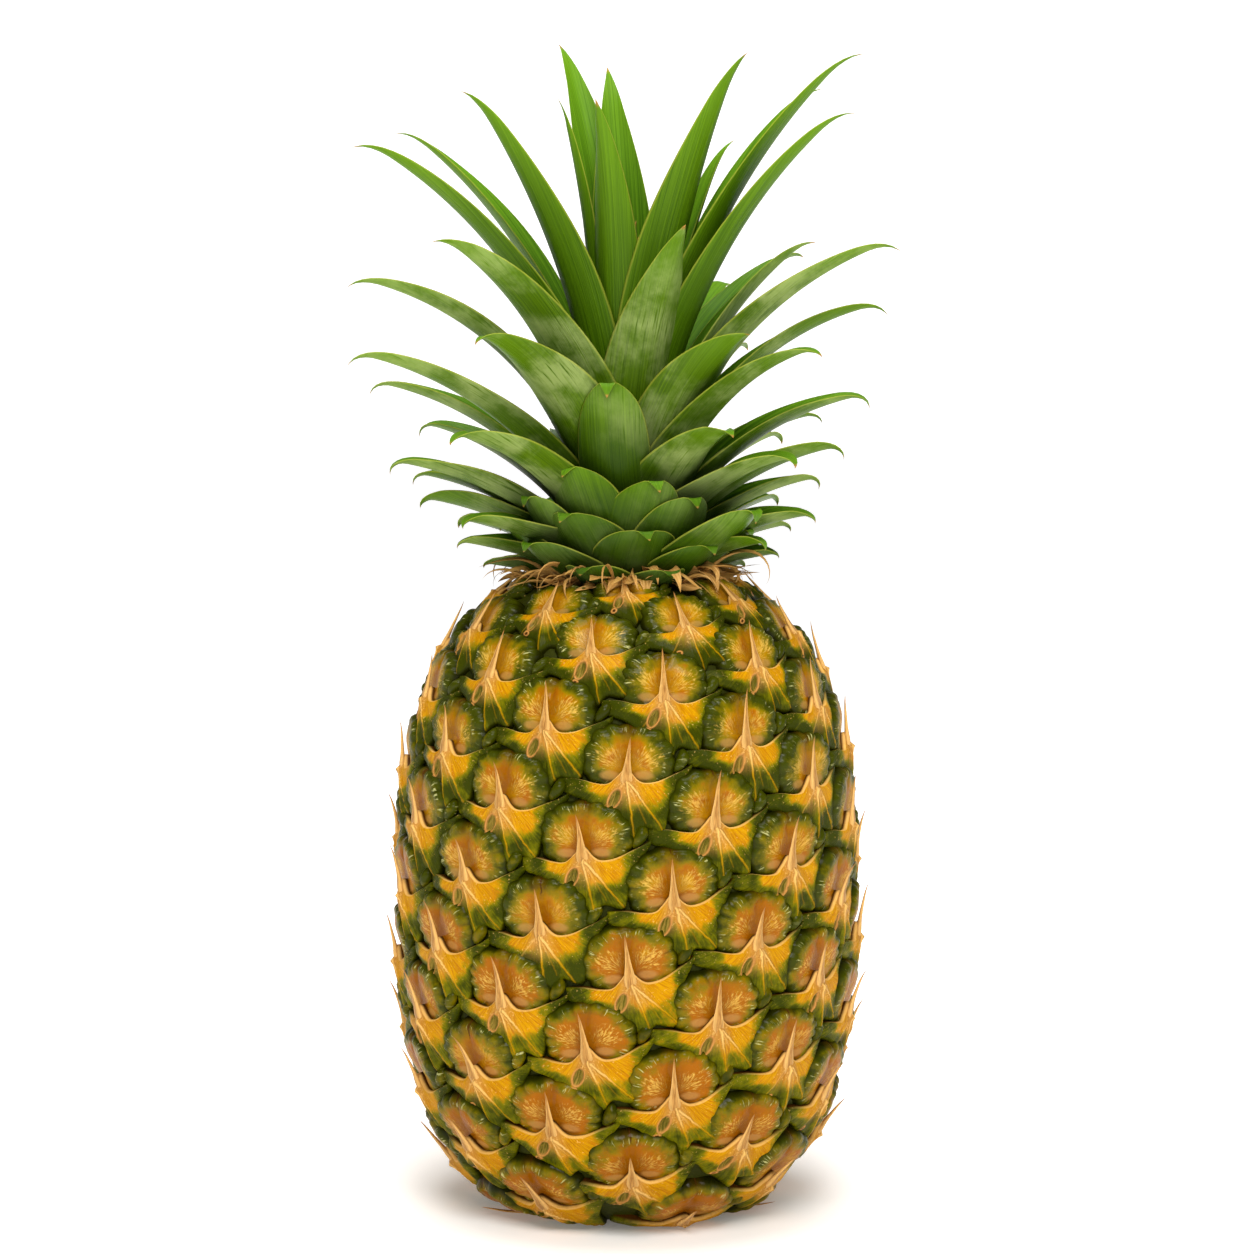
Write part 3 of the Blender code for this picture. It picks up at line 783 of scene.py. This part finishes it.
def bractCopy(eye, flat):
    last = bract["rows"]
    row = np.round((1 - flat[:, 1]) * last)
    upper = throughKnots(bract["upperEdge"], flat[:, 0])
    lower = throughKnots(bract["lowerEdge"], flat[:, 0])
    # the first rows roll over the free edge into the dome, the last ones roll down into the groove
    stops = [0, 1, 2, last - 4, last - 3, last - 2, last - 1, last]
    down = np.interp(row, stops, [0, 0, 0.03, 0.78, 0.87, 0.94, 0.985, 1.0])
    mark = np.where(row < 0.5, -0.06, down)
    sunk = np.interp(row, stops, [-2.4, -0.25, 0, 0, -0.1, -0.4, -1.1, -2.6])
    u = upper[:, 0] + (lower[:, 0] - upper[:, 0]) * down
    v = upper[:, 1] + (lower[:, 1] - upper[:, 1]) * down
    high = throughKnots(bract["upperLift"], flat[:, 0])
    low = throughKnots(bract["lowerLift"], flat[:, 0])
    middle = np.sin(math.pi * np.clip(flat[:, 0], 0, 1))
    lift = low + (high - low) * (1 - down) ** 1.15 + bract["bulge"] * middle * np.sin(math.pi * down ** 0.8)
    ridge = np.zeros_like(u)
    swung = u - (eye["chance"] - 0.5) * bract["ridgeSwing"] * np.maximum(-v - 2, 0)
    for start, end, height, _ in bract["ridges"]:
        away, t = distanceToLine(swung, v, start, end)
        line = np.exp(-(away / (bract["ridgeWidth"] * (1 + 1.1 * t))) ** 2) * (1 - 0.25 * t)
        lift = lift + height * line
        ridge = np.maximum(ridge, line * height)
    if eye["chance"] > bract["pitsAbove"]:
        above = v - bract["pit"][1]
        aside = u - bract["pit"][0] - bract["pitSlant"] * above
        outward = np.hypot(aside / bract["pitHalf"][0], above / bract["pitHalf"][1])
        lift = lift + 0.5 * np.exp(-((outward - 1.3) / 0.3) ** 2)
        lift = lift - bract["pitDepth"] * np.exp(-outward ** 4)
    lift = lift + 0.25 * np.sin(1.1 * u + eye["phase"]) * smoothStep(down, 0.05, 0.4) * (1 - down)
    ends = np.minimum(flat[:, 0], 1 - flat[:, 0]) < 0.001
    sunk = np.where(ends, -2.4, sunk)
    marks = {"eyePlace": eyeMark(eye, u, v), "downSheet": mark, "onRidge": ridge}
    return onEye(eye, u, v, lift + sunk), marks


def makeBracts():
    template, flat = gridTemplate(bract["columns"], bract["rows"])
    material = bractMaterial()
    half = len(eyes) // 2
    for name, some in (("bractsLower", eyes[:half]), ("bractsUpper", eyes[half:])):
        makeCopies(name, template, [bractCopy(eye, flat) for eye in some], material, "fruit")


# A spine leaves the middle of each bract, wide and flat at its foot
spine = {
    "around": 10,
    "rows": 14,
    "line": ((0.5, -6.0, 2.2), (0.3, -3.4, 3.0), (0.15, -1.2, 3.4), (0.05, 1.0, 3.6), (0.0, 3.4, 4.0),
             (-0.1, 6.2, 4.6), (-0.2, 8.6, 5.2), (-0.3, 10.8, 6.0)),
    "halfWidth": (0.5, 1.2, 1.5, 1.15, 0.74, 0.46, 0.26, 0.04),
    "thickness": (0.5, 0.9, 1.0, 0.75, 0.55, 0.4, 0.24, 0.04),
}


def makeSpines():
    template, flat = tubeTemplate(spine["around"], spine["rows"])
    along = flat[:, 2]
    line = throughKnots(spine["line"], along)
    wide = throughKnots(spine["halfWidth"], along)
    thick = throughKnots(spine["thickness"], along)
    ridge = smoothStep(np.abs(flat[:, 0]), 0.55, 0.95)
    front = np.where(flat[:, 1] < 0, 1 - 0.5 * np.exp(-(flat[:, 0] / 0.4) ** 2), 1)
    draw = random.Random(9)
    copies = []
    for eye in eyes:
        bend = draw.uniform(-1.0, 1.0)
        tall = draw.uniform(0.85, 1.12)
        rising = draw.uniform(-0.5, 1.8)
        u = line[:, 0] + wide * flat[:, 0] + bend * along ** 2
        v = -2.4 + (line[:, 1] + 2.4) * tall
        lift = line[:, 2] - thick * flat[:, 1] * front + rising * along ** 3
        marks = {"eyePlace": eyeMark(eye, u, v), "alongSpine": along, "onRidge": ridge}
        copies.append((onEye(eye, u, v, lift), marks))
    makeCopies("fruitSpines", template, copies, spineMaterial(), "fruit")


makeGrooveSkin()
makeWingLobes(makeFruitlets())
makeBracts()
makeSpines()

# Crown: azimuth in degrees, reach of the tip from the axis, its height and the leaf's width, as in the part
crown = {
    "foot": 169.7,
    "lowestTip": 172.4,
    "tipStep": 0.84,
    "basalLeaves": 27,
    "basalStart": -17,
    "basalTurn": 137.508,
    "basalReach": 35.5,
    "basalWidth": 17,
    "frontShorter": 0.22,
    "backLimit": 56,
    "backTallest": 270,
    "largeLeaves": (
        (-148, 34, 315, 22), (-165, 16, 308, 24), (-22, 24, 297, 20), (-84, 19, 299, 14), (-66, 48, 299, 24),
        (-112, 68, 290, 18), (-76, 75, 284, 21), (-48, 68, 259, 27), (-84, 75, 248, 21), (-74, 75, 229, 20),
        (-96, 68, 222, 18), (-38, 62, 234, 27), (-112, 59, 211, 17), (-50, 56, 210, 25), (-82, 61, 202, 19),
        (-102, 57, 198, 16), (56, 38, 309, 28), (112, 32, 288, 16), (76, 65, 309, 22),
        (108, 57, 302, 19), (68, 65, 293, 21), (100, 52, 260, 20), (78, 74, 257, 20), (98, 71, 241, 18),
        (26, 33, 264, 29), (42, 46, 236, 28), (60, 58, 231, 25), (86, 63, 219, 18), (108, 53, 214, 16),
        (36, 44, 211, 26), (78, 56, 206, 19), (58, 50, 204, 23), (100, 51, 197, 16),
        (178, 64, 270, 24), (154, 70, 248, 22), (-150, 68, 254, 23),
        (30, 6, 266, 16), (150, 7, 262, 16), (-90, 7, 264, 16),
    ),
    "seenLeaves": 33,   # the first ones in that list, read off the photograph
    "frontLimit": 52,
}

# Steep scales at the crown's front, in place of the rule's leaves there: azimuth, reach and height of the
# top, width, height of the root, and how far the tip leans aside
scale = {
    "leaves": (
        (-10, 29, 223, 21.5, 188, 0), (-25, 28, 201, 24, 174, -5), (9, 28, 197.5, 23, 172, 4),
        (-24, 29, 189, 25, 170, -6), (4, 30, 184.5, 25, 169, 4), (-45, 33, 181, 23, 169, -5),
        (-18, 31, 175, 20, 167.5, -3), (36, 33, 180.5, 20, 168.5, 4), (-52, 31, 193, 22, 171, -4),
        (44, 44, 190, 23, 171, 5), (18, 31, 174, 17, 167.5, 3), (30, 30, 193, 24, 171, 4),
        (-70, 34, 186, 20, 170, -4), (62, 35, 184, 20, 170, 4),
    ),
    "root": 12.5,
    "arch": -17,
    "hook": 160,
    "hookFrom": 0.86,
    "curl": 2.0,
    "pointed": 5,
    "shoulder": 0.9,
    "roundness": 0.6,
    "flap": 3.1,   # half the width of the tip that folds over
    "gutter": (54, 46),
    "fold": (12, 16),
    "age": 0.58,
}

# How a leaf is made: its mesh, its section and its curled tip, for the short low leaves and the tall ones
leaf = {
    "around": 26,
    "rows": 36,
    "keel": (1.5, 0.7),
    "gutter": (64, 46),   # slope of the blade at its edges in degrees, near its root and its tip
    "fold": (34, 26),     # slope of the sharper fold along its middle
    "hook": (105, 55),
    "hookFrom": (0.88, 0.90),
    "pointed": (3.4, 2.9),
    "shortBelow": 18,     # heights of a tip above the lowest one
    "tallAbove": 75,
    "wave": 0.7,
    "youngTip": 292,      # leaves that reach this height are young, lower ones have more bloom
    "oldest": 0.8,
}


leafColours = {
    "young": (0.038, 0.105, 0.0005, 1),
    "youngRib": (0.135, 0.275, 0.003, 1),
    "old": (0.036, 0.078, 0.001, 1),
    "oldRib": (0.105, 0.180, 0.004, 1),
    "bloom": (0.60, 0.68, 0.26, 1),
    "streak": (0.022, 0.052, 0.004, 1),
    "inside": (0.05, 0.145, 0.003, 1),
    "insideRib": (0.14, 0.31, 0.010, 1),
    "fresh": (0.13, 0.27, 0.008, 1),
    "leafShade": (0.010, 0.026, 0.001, 1),
    "margin": (0.42, 0.42, 0.05, 1),
    "dry": (0.36, 0.19, 0.04, 1),
}


def leafMaterial():
    material, tree, shader = newMaterial("crownLeaf")
    local = splitMark(tree, "leafPlace")
    across, along, chance = local[0], local[1], local[2]
    edge = readMark(tree, "toMargin")
    tip = readMark(tree, "toTip")
    inner = readMark(tree, "innerFace")
    age = readMark(tree, "leafAge")
    place = objectPlace(tree)
    veins = useGroup(tree, fibreGroup, {
        "Across": across, "Along": along, "Seed": chance, "Fineness": 2.8, "Slowness": 0.02,
    })["Fibres"]
    streaks = useGroup(tree, fibreGroup, {
        "Across": across, "Along": along, "Seed": plus(tree, chance, 3.0),
        "Fineness": 1.5, "Slowness": 0.09,
    })["Fibres"]
    clouds = noise(tree, place, 60.0, 5.0, 0.6)

    ribs = rise(tree, veins, 0.15, 0.85)
    youngColour = mixColour(tree, ribs, leafColours["young"], leafColours["youngRib"])
    oldColour = mixColour(tree, ribs, leafColours["old"], leafColours["oldRib"])
    bloom = times(tree, rise(tree, clouds, 0.40, 0.64), rise(tree, streaks, 0.26, 0.5))
    bloom = times(tree, bloom, timesPlus(tree, age, 0.62, 0.05))
    oldColour = mixColour(tree, bloom, oldColour, leafColours["bloom"])
    outside = mixColour(tree, times(tree, age, 0.85), youngColour, oldColour)
    marks = times(tree, rise(tree, streaks, 0.36, 0.27), timesPlus(tree, age, 0.35, 0.1))
    outside = mixColour(tree, marks, outside, leafColours["streak"])
    inside = mixColour(tree, rise(tree, veins, 0.3, 0.7), leafColours["inside"], leafColours["insideRib"])
    colour = mixColour(tree, inner, outside, inside)
    fresh = times(tree, rise(tree, tip, 0.6, 0.95), 0.45)
    colour = mixColour(tree, fresh, colour, leafColours["fresh"])

    # Painted shade, darker down between the other leaves, with a pale margin and a dry tip
    foot = times(tree, rise(tree, along, 42.0, 14.0), 0.8)
    young = timesPlus(tree, age, -0.4, 0.5)
    leafShade = larger(tree, foot, times(tree, rise(tree, along, 115.0, 35.0), young))
    colour = mixColour(tree, leafShade, colour, leafColours["leafShade"])
    margin = times(tree, rise(tree, edge, 0.955, 0.99), timesPlus(tree, tip, 0.35, 0.2))
    colour = mixColour(tree, margin, colour, leafColours["margin"])
    dry = timesPlus(tree, minus(tree, clouds, 0.5), 0.04, tip)
    colour = mixColour(tree, rise(tree, dry, 0.972, 0.992), colour, leafColours["dry"])
    rough = timesPlus(tree, bloom, 0.5, 0.34)
    setSockets(tree, shader, {"Base Color": colour, "Roughness": rough, "Specular IOR Level": 0.08})
    relief = plus(tree, veins, times(tree, noise(tree, place, 1500.0, 2.0), 0.12))
    setRelief(tree, shader, relief, 0.4, 0.0005)
    return material


def crownLeaves():
    draw = random.Random(7)
    leaves = list(crown["largeLeaves"])
    for azimuth, reach, height, width in crown["largeLeaves"][:crown["seenLeaves"]]:
        if abs(azimuth) < crown["backLimit"] and height < crown["backTallest"]:
            turned = azimuth + 180 + draw.uniform(-9, 9)
            leaves.append((turned, reach * draw.uniform(0.93, 1.05), height - 2, width))
    for number in range(crown["basalLeaves"]):
        azimuth = (crown["basalStart"] + crown["basalTurn"] * number + 180) % 360 - 180
        if abs(azimuth) < crown["frontLimit"]:
            continue
        above = crown["tipStep"] * number
        flat = 1 - crown["frontShorter"] * math.cos(math.radians(azimuth)) ** 2 * above / 20
        reach = (crown["basalReach"] + above + draw.uniform(-2, 2)) * flat
        width = crown["basalWidth"] + 0.25 * above
        leaves.append((azimuth, reach, crown["lowestTip"] + above, width))
    return leaves


# A leaf's keel in its own upright plane: reach, height and direction at each t, and its length. The tip
# curls over from hookFrom on, and fitAt is the share of the keel that ends at the given tip.
def leafLine(root, tip, bow, t):
    fine = np.linspace(0, 1, 400)
    curl = np.clip(bow["curl"] * (fine - bow["hookFrom"]) / (1 - bow["hookFrom"]), 0, 1) ** 1.5
    bend = -bow["arch"] + 2 * bow["arch"] * fine + bow["hook"] * curl
    line = np.cumsum(np.stack([np.sin(bend), np.cos(bend)], 1), axis=0)
    line -= line[0]
    end = line[int(bow["fitAt"] * 399)]
    want = (tip[0] - root[0], tip[1] - root[1])
    scale = math.hypot(*want) / np.hypot(*end)
    turn = math.atan2(*want) - math.atan2(*end)
    x, z = line[:, 0] * scale, line[:, 1] * scale
    reach = root[0] + x * math.cos(turn) + z * math.sin(turn)
    height = root[1] + z * math.cos(turn) - x * math.sin(turn)
    reach, height, angle = [np.interp(t, fine, values) for values in (reach, height, bend + turn)]
    return reach, height, angle, scale * 400


# A blade with a folded gutter as its section, closed all round
def bladeCopy(flat, azimuth, root, tip, width, bow, section, chance):
    t = 1 - (1 - flat[:, 2]) ** 1.2   # rows lie closer together near the tip
    reach, height, angle, length = leafLine(root, tip, bow, t)
    azimuth = math.radians(azimuth)
    out = np.array([math.sin(azimuth), -math.cos(azimuth), 0])
    side = np.array([math.cos(azimuth), math.sin(azimuth), 0])
    face = np.sin(angle)[:, None] * np.array([0, 0, 1]) - np.cos(angle)[:, None] * out
    twist = (section["twist"] * t)[:, None]
    side, face = side * np.cos(twist) + face * np.sin(twist), face * np.cos(twist) - side * np.sin(twist)
    pointed = section["pointed"]
    outlineAt = np.clip(1 - (t / section["shoulder"]) ** pointed, 0, 1) ** section["roundness"]
    half = width / 2 * (0.72 + 0.28 * np.minimum(1, t / 0.2)) * outlineAt
    half = np.maximum(half, section["flap"] * np.minimum(1, (1 - t) / (1 - bow["hookFrom"])))
    spread = 1 - 0.75 * smoothStep(t, bow["hookFrom"] - 0.03, bow["hookFrom"] + 0.06)
    slope = np.radians(section["gutter"][0] + (section["gutter"][1] - section["gutter"][0]) * t) * spread
    fold = np.radians(section["fold"][0] + (section["fold"][1] - section["fold"][0]) * t) * spread
    across = flat[:, 0]
    thick = section["keel"][0] + (section["keel"][1] - section["keel"][0]) * t
    bulk = np.sqrt(np.clip(1 - across ** 2, 0, 1)) * np.sign(flat[:, 1])
    sideways = half * (0.5 * np.sin(slope * across) / slope + 0.5 * across * np.cos(fold))
    crease = (np.sqrt(across ** 2 + 0.03) - 0.17) * np.sin(fold)
    rising = half * 0.5 * ((1 - np.cos(slope * across)) / slope + crease)
    rising = rising + thick * np.where(bulk > 0, 0.12, 0.88) * bulk * np.minimum(1, half / 1.5)
    wave, phase = section["wave"], section["phase"]
    rising = rising + wave * half / 11 * np.sin(8 * t + phase + 1.5 * across) * across ** 2
    sway = wave * 1.5 * np.sin(3.5 * t + phase) * t * (length / 80) + section["lean"] * t ** 3
    points = out * reach[:, None] + np.array([0, 0, 1]) * height[:, None]
    points = points + side * (sideways + sway)[:, None] + face * rising[:, None]
    return points, {
        "leafPlace": np.stack([half * across, t * length, np.full_like(t, chance)], -1),
        "toMargin": np.abs(across),
        "toTip": t,
        "innerFace": (bulk > 0).astype(float),
    }


# The keel and the section of a leaf of the rosette
def leafForm(azimuth, reach, tip, draw):
    above = tip - crown["lowestTip"]
    tall = float(smoothStep(above, leaf["shortBelow"], leaf["tallAbove"]))
    root = (11.0 - 0.03 * above, crown["foot"] + 1.6 + 0.24 * max(above - 8, 0))
    slant = abs(math.atan2(reach - root[0], tip - root[1]))
    straighter = 1 - 0.4 * math.exp(-(azimuth / 50) ** 2) * (1 - tall)
    hookFrom = leaf["hookFrom"][0] + (leaf["hookFrom"][1] - leaf["hookFrom"][0]) * tall
    bow = {
        "arch": straighter * min(0.65 * slant + math.radians(3), math.radians(82) - slant),
        "hook": math.radians(leaf["hook"][0] + (leaf["hook"][1] - leaf["hook"][0]) * tall)
        * draw.uniform(0.8, 1.15) * min(1.15, 0.35 + 0.9 * slant),
        "hookFrom": hookFrom,
        "curl": 1,
        "fitAt": hookFrom + (1 - hookFrom) * max(tall, 0.3),
    }
    section = {
        "gutter": leaf["gutter"],
        "fold": leaf["fold"],
        "keel": leaf["keel"],
        "pointed": leaf["pointed"][0] + (leaf["pointed"][1] - leaf["pointed"][0]) * tall,
        "wave": leaf["wave"],
        "phase": draw.uniform(0, 6.28),
        "twist": math.radians(draw.uniform(-14, 14)),
        "lean": 0,
        "shoulder": 1,
        "roundness": 1.08,
        "flap": 0,
        "age": min(leaf["oldest"], max(0.08, (leaf["youngTip"] - tip) / 36)),
    }
    return root, bow, section


# The same for a steep scale at the front, which bulges outwards and folds its tip over
def scaleForm(root, lean, draw):
    bow = {
        "arch": math.radians(scale["arch"]),
        "hook": math.radians(scale["hook"]) * draw.uniform(0.85, 1.1),
        "hookFrom": scale["hookFrom"],
        "curl": scale["curl"],
        "fitAt": scale["hookFrom"] + 0.03,
    }
    section = {
        "gutter": scale["gutter"],
        "fold": scale["fold"],
        "keel": leaf["keel"],
        "pointed": scale["pointed"],
        "wave": 0.3,
        "phase": draw.uniform(0, 6.28),
        "twist": 0,
        "lean": lean,
        "shoulder": scale["shoulder"],
        "roundness": scale["roundness"],
        "flap": scale["flap"],
        "age": scale["age"],
    }
    return (scale["root"], root), bow, section


def makeCrown():
    template, flat = tubeTemplate(leaf["around"], leaf["rows"])
    draw = random.Random(3)
    leaves = [(azimuth, (reach, tip), width) + leafForm(azimuth, reach, tip, draw)
              for azimuth, reach, tip, width in crownLeaves()]
    leaves += [(azimuth, (reach, tip), width) + scaleForm(root, lean, draw)
               for azimuth, reach, tip, width, root, lean in scale["leaves"]]
    copies = []
    for azimuth, tip, width, root, bow, section in leaves:
        points, marks = bladeCopy(flat, azimuth, root, tip, width, bow, section, draw.random())
        marks["leafAge"] = np.full_like(marks["toTip"], section["age"])
        copies.append((points, marks))
    makeCopies("crownLeaves", template, copies, leafMaterial(), "crown")


# Runs an open rim on, made wider and moved up, and gives the new rim
def extendRim(shape, rim, wider, upward):
    made = bmesh.ops.extrude_edge_only(shape, edges=rim)["geom"]
    verts = [item for item in made if isinstance(item, bmesh.types.BMVert)]
    bmesh.ops.scale(shape, verts=verts, vec=(wider, wider, 1))
    bmesh.ops.translate(shape, verts=verts, vec=(0, 0, upward))
    return [item for item in made if isinstance(item, bmesh.types.BMEdge)]


# The crown's stem, hidden between its leaves: radius and height of each joint
crownStem = {
    "joints": ((15, 166.9), (15, 169.5), (20, 170.2), (15, 200), (8, 236)),
    "sides": 40,
    "colours": ((0.03, 0.045, 0.008, 1), (0.12, 0.10, 0.03, 1)),
}


def makeCrownStem():
    shape = bmesh.new()
    joints = crownStem["joints"]
    bmesh.ops.create_circle(shape, cap_ends=True, segments=crownStem["sides"], radius=joints[0][0])
    bmesh.ops.translate(shape, verts=shape.verts, vec=(0, 0, joints[0][1]))
    rim = shape.edges[:]
    for (radius, height), (wider, higher) in zip(joints, joints[1:]):
        rim = extendRim(shape, rim, wider / radius, higher - height)
    bmesh.ops.edgeloop_fill(shape, edges=rim)
    bmesh.ops.recalc_face_normals(shape, faces=shape.faces)
    template, flat = keepTemplate(shape)
    material, tree, shader = newMaterial("crownStem")
    colour = mixColour(tree, noise(tree, objectPlace(tree), 400.0), *crownStem["colours"])
    setSockets(tree, shader, {"Base Color": colour, "Roughness": 0.7})
    makeCopies("crownStem", template, [(flat, {})], material, "crown")


makeCrown()
makeCrownStem()

# Dry strips round the neck: broad papery ones that drape over the shoulder and thin curled ones
neck = {
    "around": 8,
    "rows": 16,
    "bow": {"hookFrom": 0.5, "curl": 1, "fitAt": 0.95},
    "section": {
        "gutter": (70, 40),
        "fold": (40, 30),
        "keel": (0.5, 0.35),
        "pointed": 1.8,
        "wave": 2.4,
        "shoulder": 1,
        "roundness": 1.08,
        "flap": 0,
    },
    # how many of a kind, the azimuth of the first, then the least and most of each measure: reach and
    # height of the root, reach and height of the tip, width, arch and hook in degrees
    "kinds": (
        (60, 0, (17, 21), (169.2, 170.2), (26, 35), (167.0, 172.5), (4.5, 8.5), (15, 42), (-60, 110)),
        (54, 40, (19, 26), (168.8, 169.6), (30, 42), (166.5, 174.5), (1.4, 3.2), (25, 70), (-110, 120)),
    ),
}


def dryMaterial():
    material, tree, shader = newMaterial("dryBract")
    local = splitMark(tree, "leafPlace")
    tip = readMark(tree, "toTip")
    fibres = useGroup(tree, fibreGroup, {
        "Across": local[0], "Along": local[1], "Seed": local[2], "Fineness": 4.0, "Slowness": 0.12,
    })["Fibres"]
    stops = ((0.32, (0.19, 0.080, 0.014)), (0.5, (0.46, 0.23, 0.05)), (0.7, (0.72, 0.45, 0.16)))
    colour = ramp(tree, fibres, stops)
    colour = mixColour(tree, times(tree, local[2], 0.5), colour, (0.58, 0.32, 0.07, 1))
    colour = mixColour(tree, rise(tree, tip, 0.3, 0.0), colour, (0.09, 0.035, 0.008, 1))
    setSockets(tree, shader, {"Base Color": colour, "Roughness": 0.6, "Specular IOR Level": 0.25})
    setRelief(tree, shader, fibres, 0.8, 0.0005)
    return material


def makeNeck():
    template, flat = tubeTemplate(neck["around"], neck["rows"])
    draw = random.Random(21)
    copies = []
    for count, start, *spans in neck["kinds"]:
        for number in range(count):
            azimuth = start + number * 360 / count + draw.uniform(-6, 6)
            *ends, width, arch, hook = [draw.uniform(*span) for span in spans]
            bow = dict(neck["bow"], arch=math.radians(arch), hook=math.radians(hook))
            section = dict(neck["section"], phase=draw.uniform(0, 6.28))
            section["twist"] = math.radians(draw.uniform(-60, 60))
            section["lean"] = draw.uniform(-4, 4)
            chance = draw.random()
            points, marks = bladeCopy(flat, azimuth, ends[:2], ends[2:], width, bow, section, chance)
            copies.append((points, {mark: marks[mark] for mark in ("leafPlace", "toTip")}))
    makeCopies("neckStrips", template, copies, dryMaterial(), "neck_bracts")


makeNeck()


# The cut stem keeps its own solid and gets a fibrous look
def dressCutStem():
    material, tree, shader = newMaterial("cutStem")
    place = objectPlace(tree)
    fibres = noise(tree, place, 1400.0, 4.0, 0.7)
    rings = noise(tree, place, 180.0, 3.0)
    stops = ((0.35, (0.20, 0.11, 0.045)), (0.5, (0.44, 0.30, 0.14)), (0.68, (0.66, 0.50, 0.27)))
    brown = times(tree, rise(tree, rings, 0.45, 0.7), 0.5)
    colour = mixColour(tree, brown, ramp(tree, fibres, stops), (0.22, 0.12, 0.05, 1))
    setSockets(tree, shader, {"Base Color": colour, "Roughness": 0.85})
    setRelief(tree, shader, fibres, 0.7, 0.0006)
    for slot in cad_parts["cut_stem"].material_slots:
        slot.material = material


dressCutStem()
print("crown, neck and cut stem done")

camera = {
    "lens": 100,
    "sensor": 36,
    "distance": 0.94,
    "elevation": 5,
    "aim": (0, 0, 0.157),
}

lights = {
    # place, size, power and colour
    "key": ((-0.02, -1.05, 1.25), 0.7, 14.0, (1.0, 0.985, 0.95)),
    "fill": ((0.3, -1.15, 1.1), 0.7, 7.4, (0.99, 0.995, 1.0)),
    "top": ((-0.03, 0.05, 1.5), 1.0, 16.3, (1.0, 1.0, 1.0)),
    "world": 0.18,
}

stage = {
    "half": 6.0,
    "curve": 0.4,
    "steps": 8,
    "wall": 1.2,
    "colour": (0.84, 0.83, 0.82, 1),
    "glowNear": 0.09,   # its own light close to the fruit and far from it, so the background stays white
    "glowFar": 0.75,
    "near": 0.02,
    "far": 0.15,
    "warmth": (1, 0.93, 0.84, 1),   # of that light close to the fruit
}


# The floor curves up into a low wall on all sides
def makeStage():
    shape = bmesh.new()
    bmesh.ops.create_grid(shape, x_segments=1, y_segments=1, size=stage["half"])
    step = math.pi / 2 / stage["steps"] * stage["curve"]
    moves = []
    for number in range(stage["steps"]):
        angle = math.pi / 2 * (number + 0.5) / stage["steps"]
        moves.append((step * math.cos(angle), step * math.sin(angle)))
    moves.append((0, stage["wall"]))
    rim, half = shape.edges[:], stage["half"]
    for outward, upward in moves:
        rim = extendRim(shape, rim, (half + outward) / half, upward)
        half += outward
    bmesh.ops.recalc_face_normals(shape, faces=shape.faces)
    mesh = bpy.data.meshes.new("floor")
    shape.to_mesh(mesh)
    shape.free()
    mesh.shade_smooth()
    material, tree, shader = newMaterial("paleFloor")
    length = addNode(tree, "ShaderNodeVectorMath", {0: objectPlace(tree)}, operation="LENGTH")
    away = length.outputs["Value"]
    glow = addNode(tree, "ShaderNodeMapRange", {
        "Value": away, "From Min": stage["near"], "From Max": stage["far"],
        "To Min": stage["glowNear"], "To Max": stage["glowFar"],
    }).outputs[0]
    whiter = rise(tree, away, stage["near"], 2 * stage["far"])
    setSockets(tree, shader, {
        "Base Color": stage["colour"],
        "Roughness": 0.9,
        "Specular IOR Level": 0.1,
        "Emission Strength": glow,
        "Emission Color": mixColour(tree, whiter, stage["warmth"], (1, 1, 1, 1)),
    })
    mesh.materials.append(material)
    floor = bpy.data.objects.new("floor", mesh)
    bpy.context.scene.collection.objects.link(floor)


def makeLights():
    world = bpy.data.worlds.new("studio")
    world.use_nodes = True
    world.node_tree.nodes["Background"].inputs[0].default_value = (1, 1, 1, 1)
    world.node_tree.nodes["Background"].inputs[1].default_value = lights["world"]
    bpy.context.scene.world = world
    for name in ("key", "fill", "top"):
        place, size, power, colour = lights[name]
        data = bpy.data.lights.new(name, "AREA")
        data.shape = "DISK"
        data.size = size
        data.energy = power
        data.color = colour
        lamp = bpy.data.objects.new(name, data)
        lamp.location = place
        towards = Vector(camera["aim"]) - Vector(place)
        lamp.rotation_euler = towards.to_track_quat("-Z", "Y").to_euler()
        bpy.context.scene.collection.objects.link(lamp)


def makeCamera():
    data = bpy.data.cameras.new("view")
    data.lens = camera["lens"]
    data.sensor_width = camera["sensor"]
    view = bpy.data.objects.new("view", data)
    angle = math.radians(camera["elevation"])
    backwards = Vector((0, -math.cos(angle), math.sin(angle)))
    view.location = Vector(camera["aim"]) + backwards * camera["distance"]
    view.rotation_euler = (math.pi / 2 - angle, 0, 0)
    bpy.context.scene.collection.objects.link(view)
    bpy.context.scene.camera = view
    bpy.context.scene.view_settings.view_transform = "Standard"


makeStage()
makeLights()
makeCamera()
print("stage, lights and camera set")
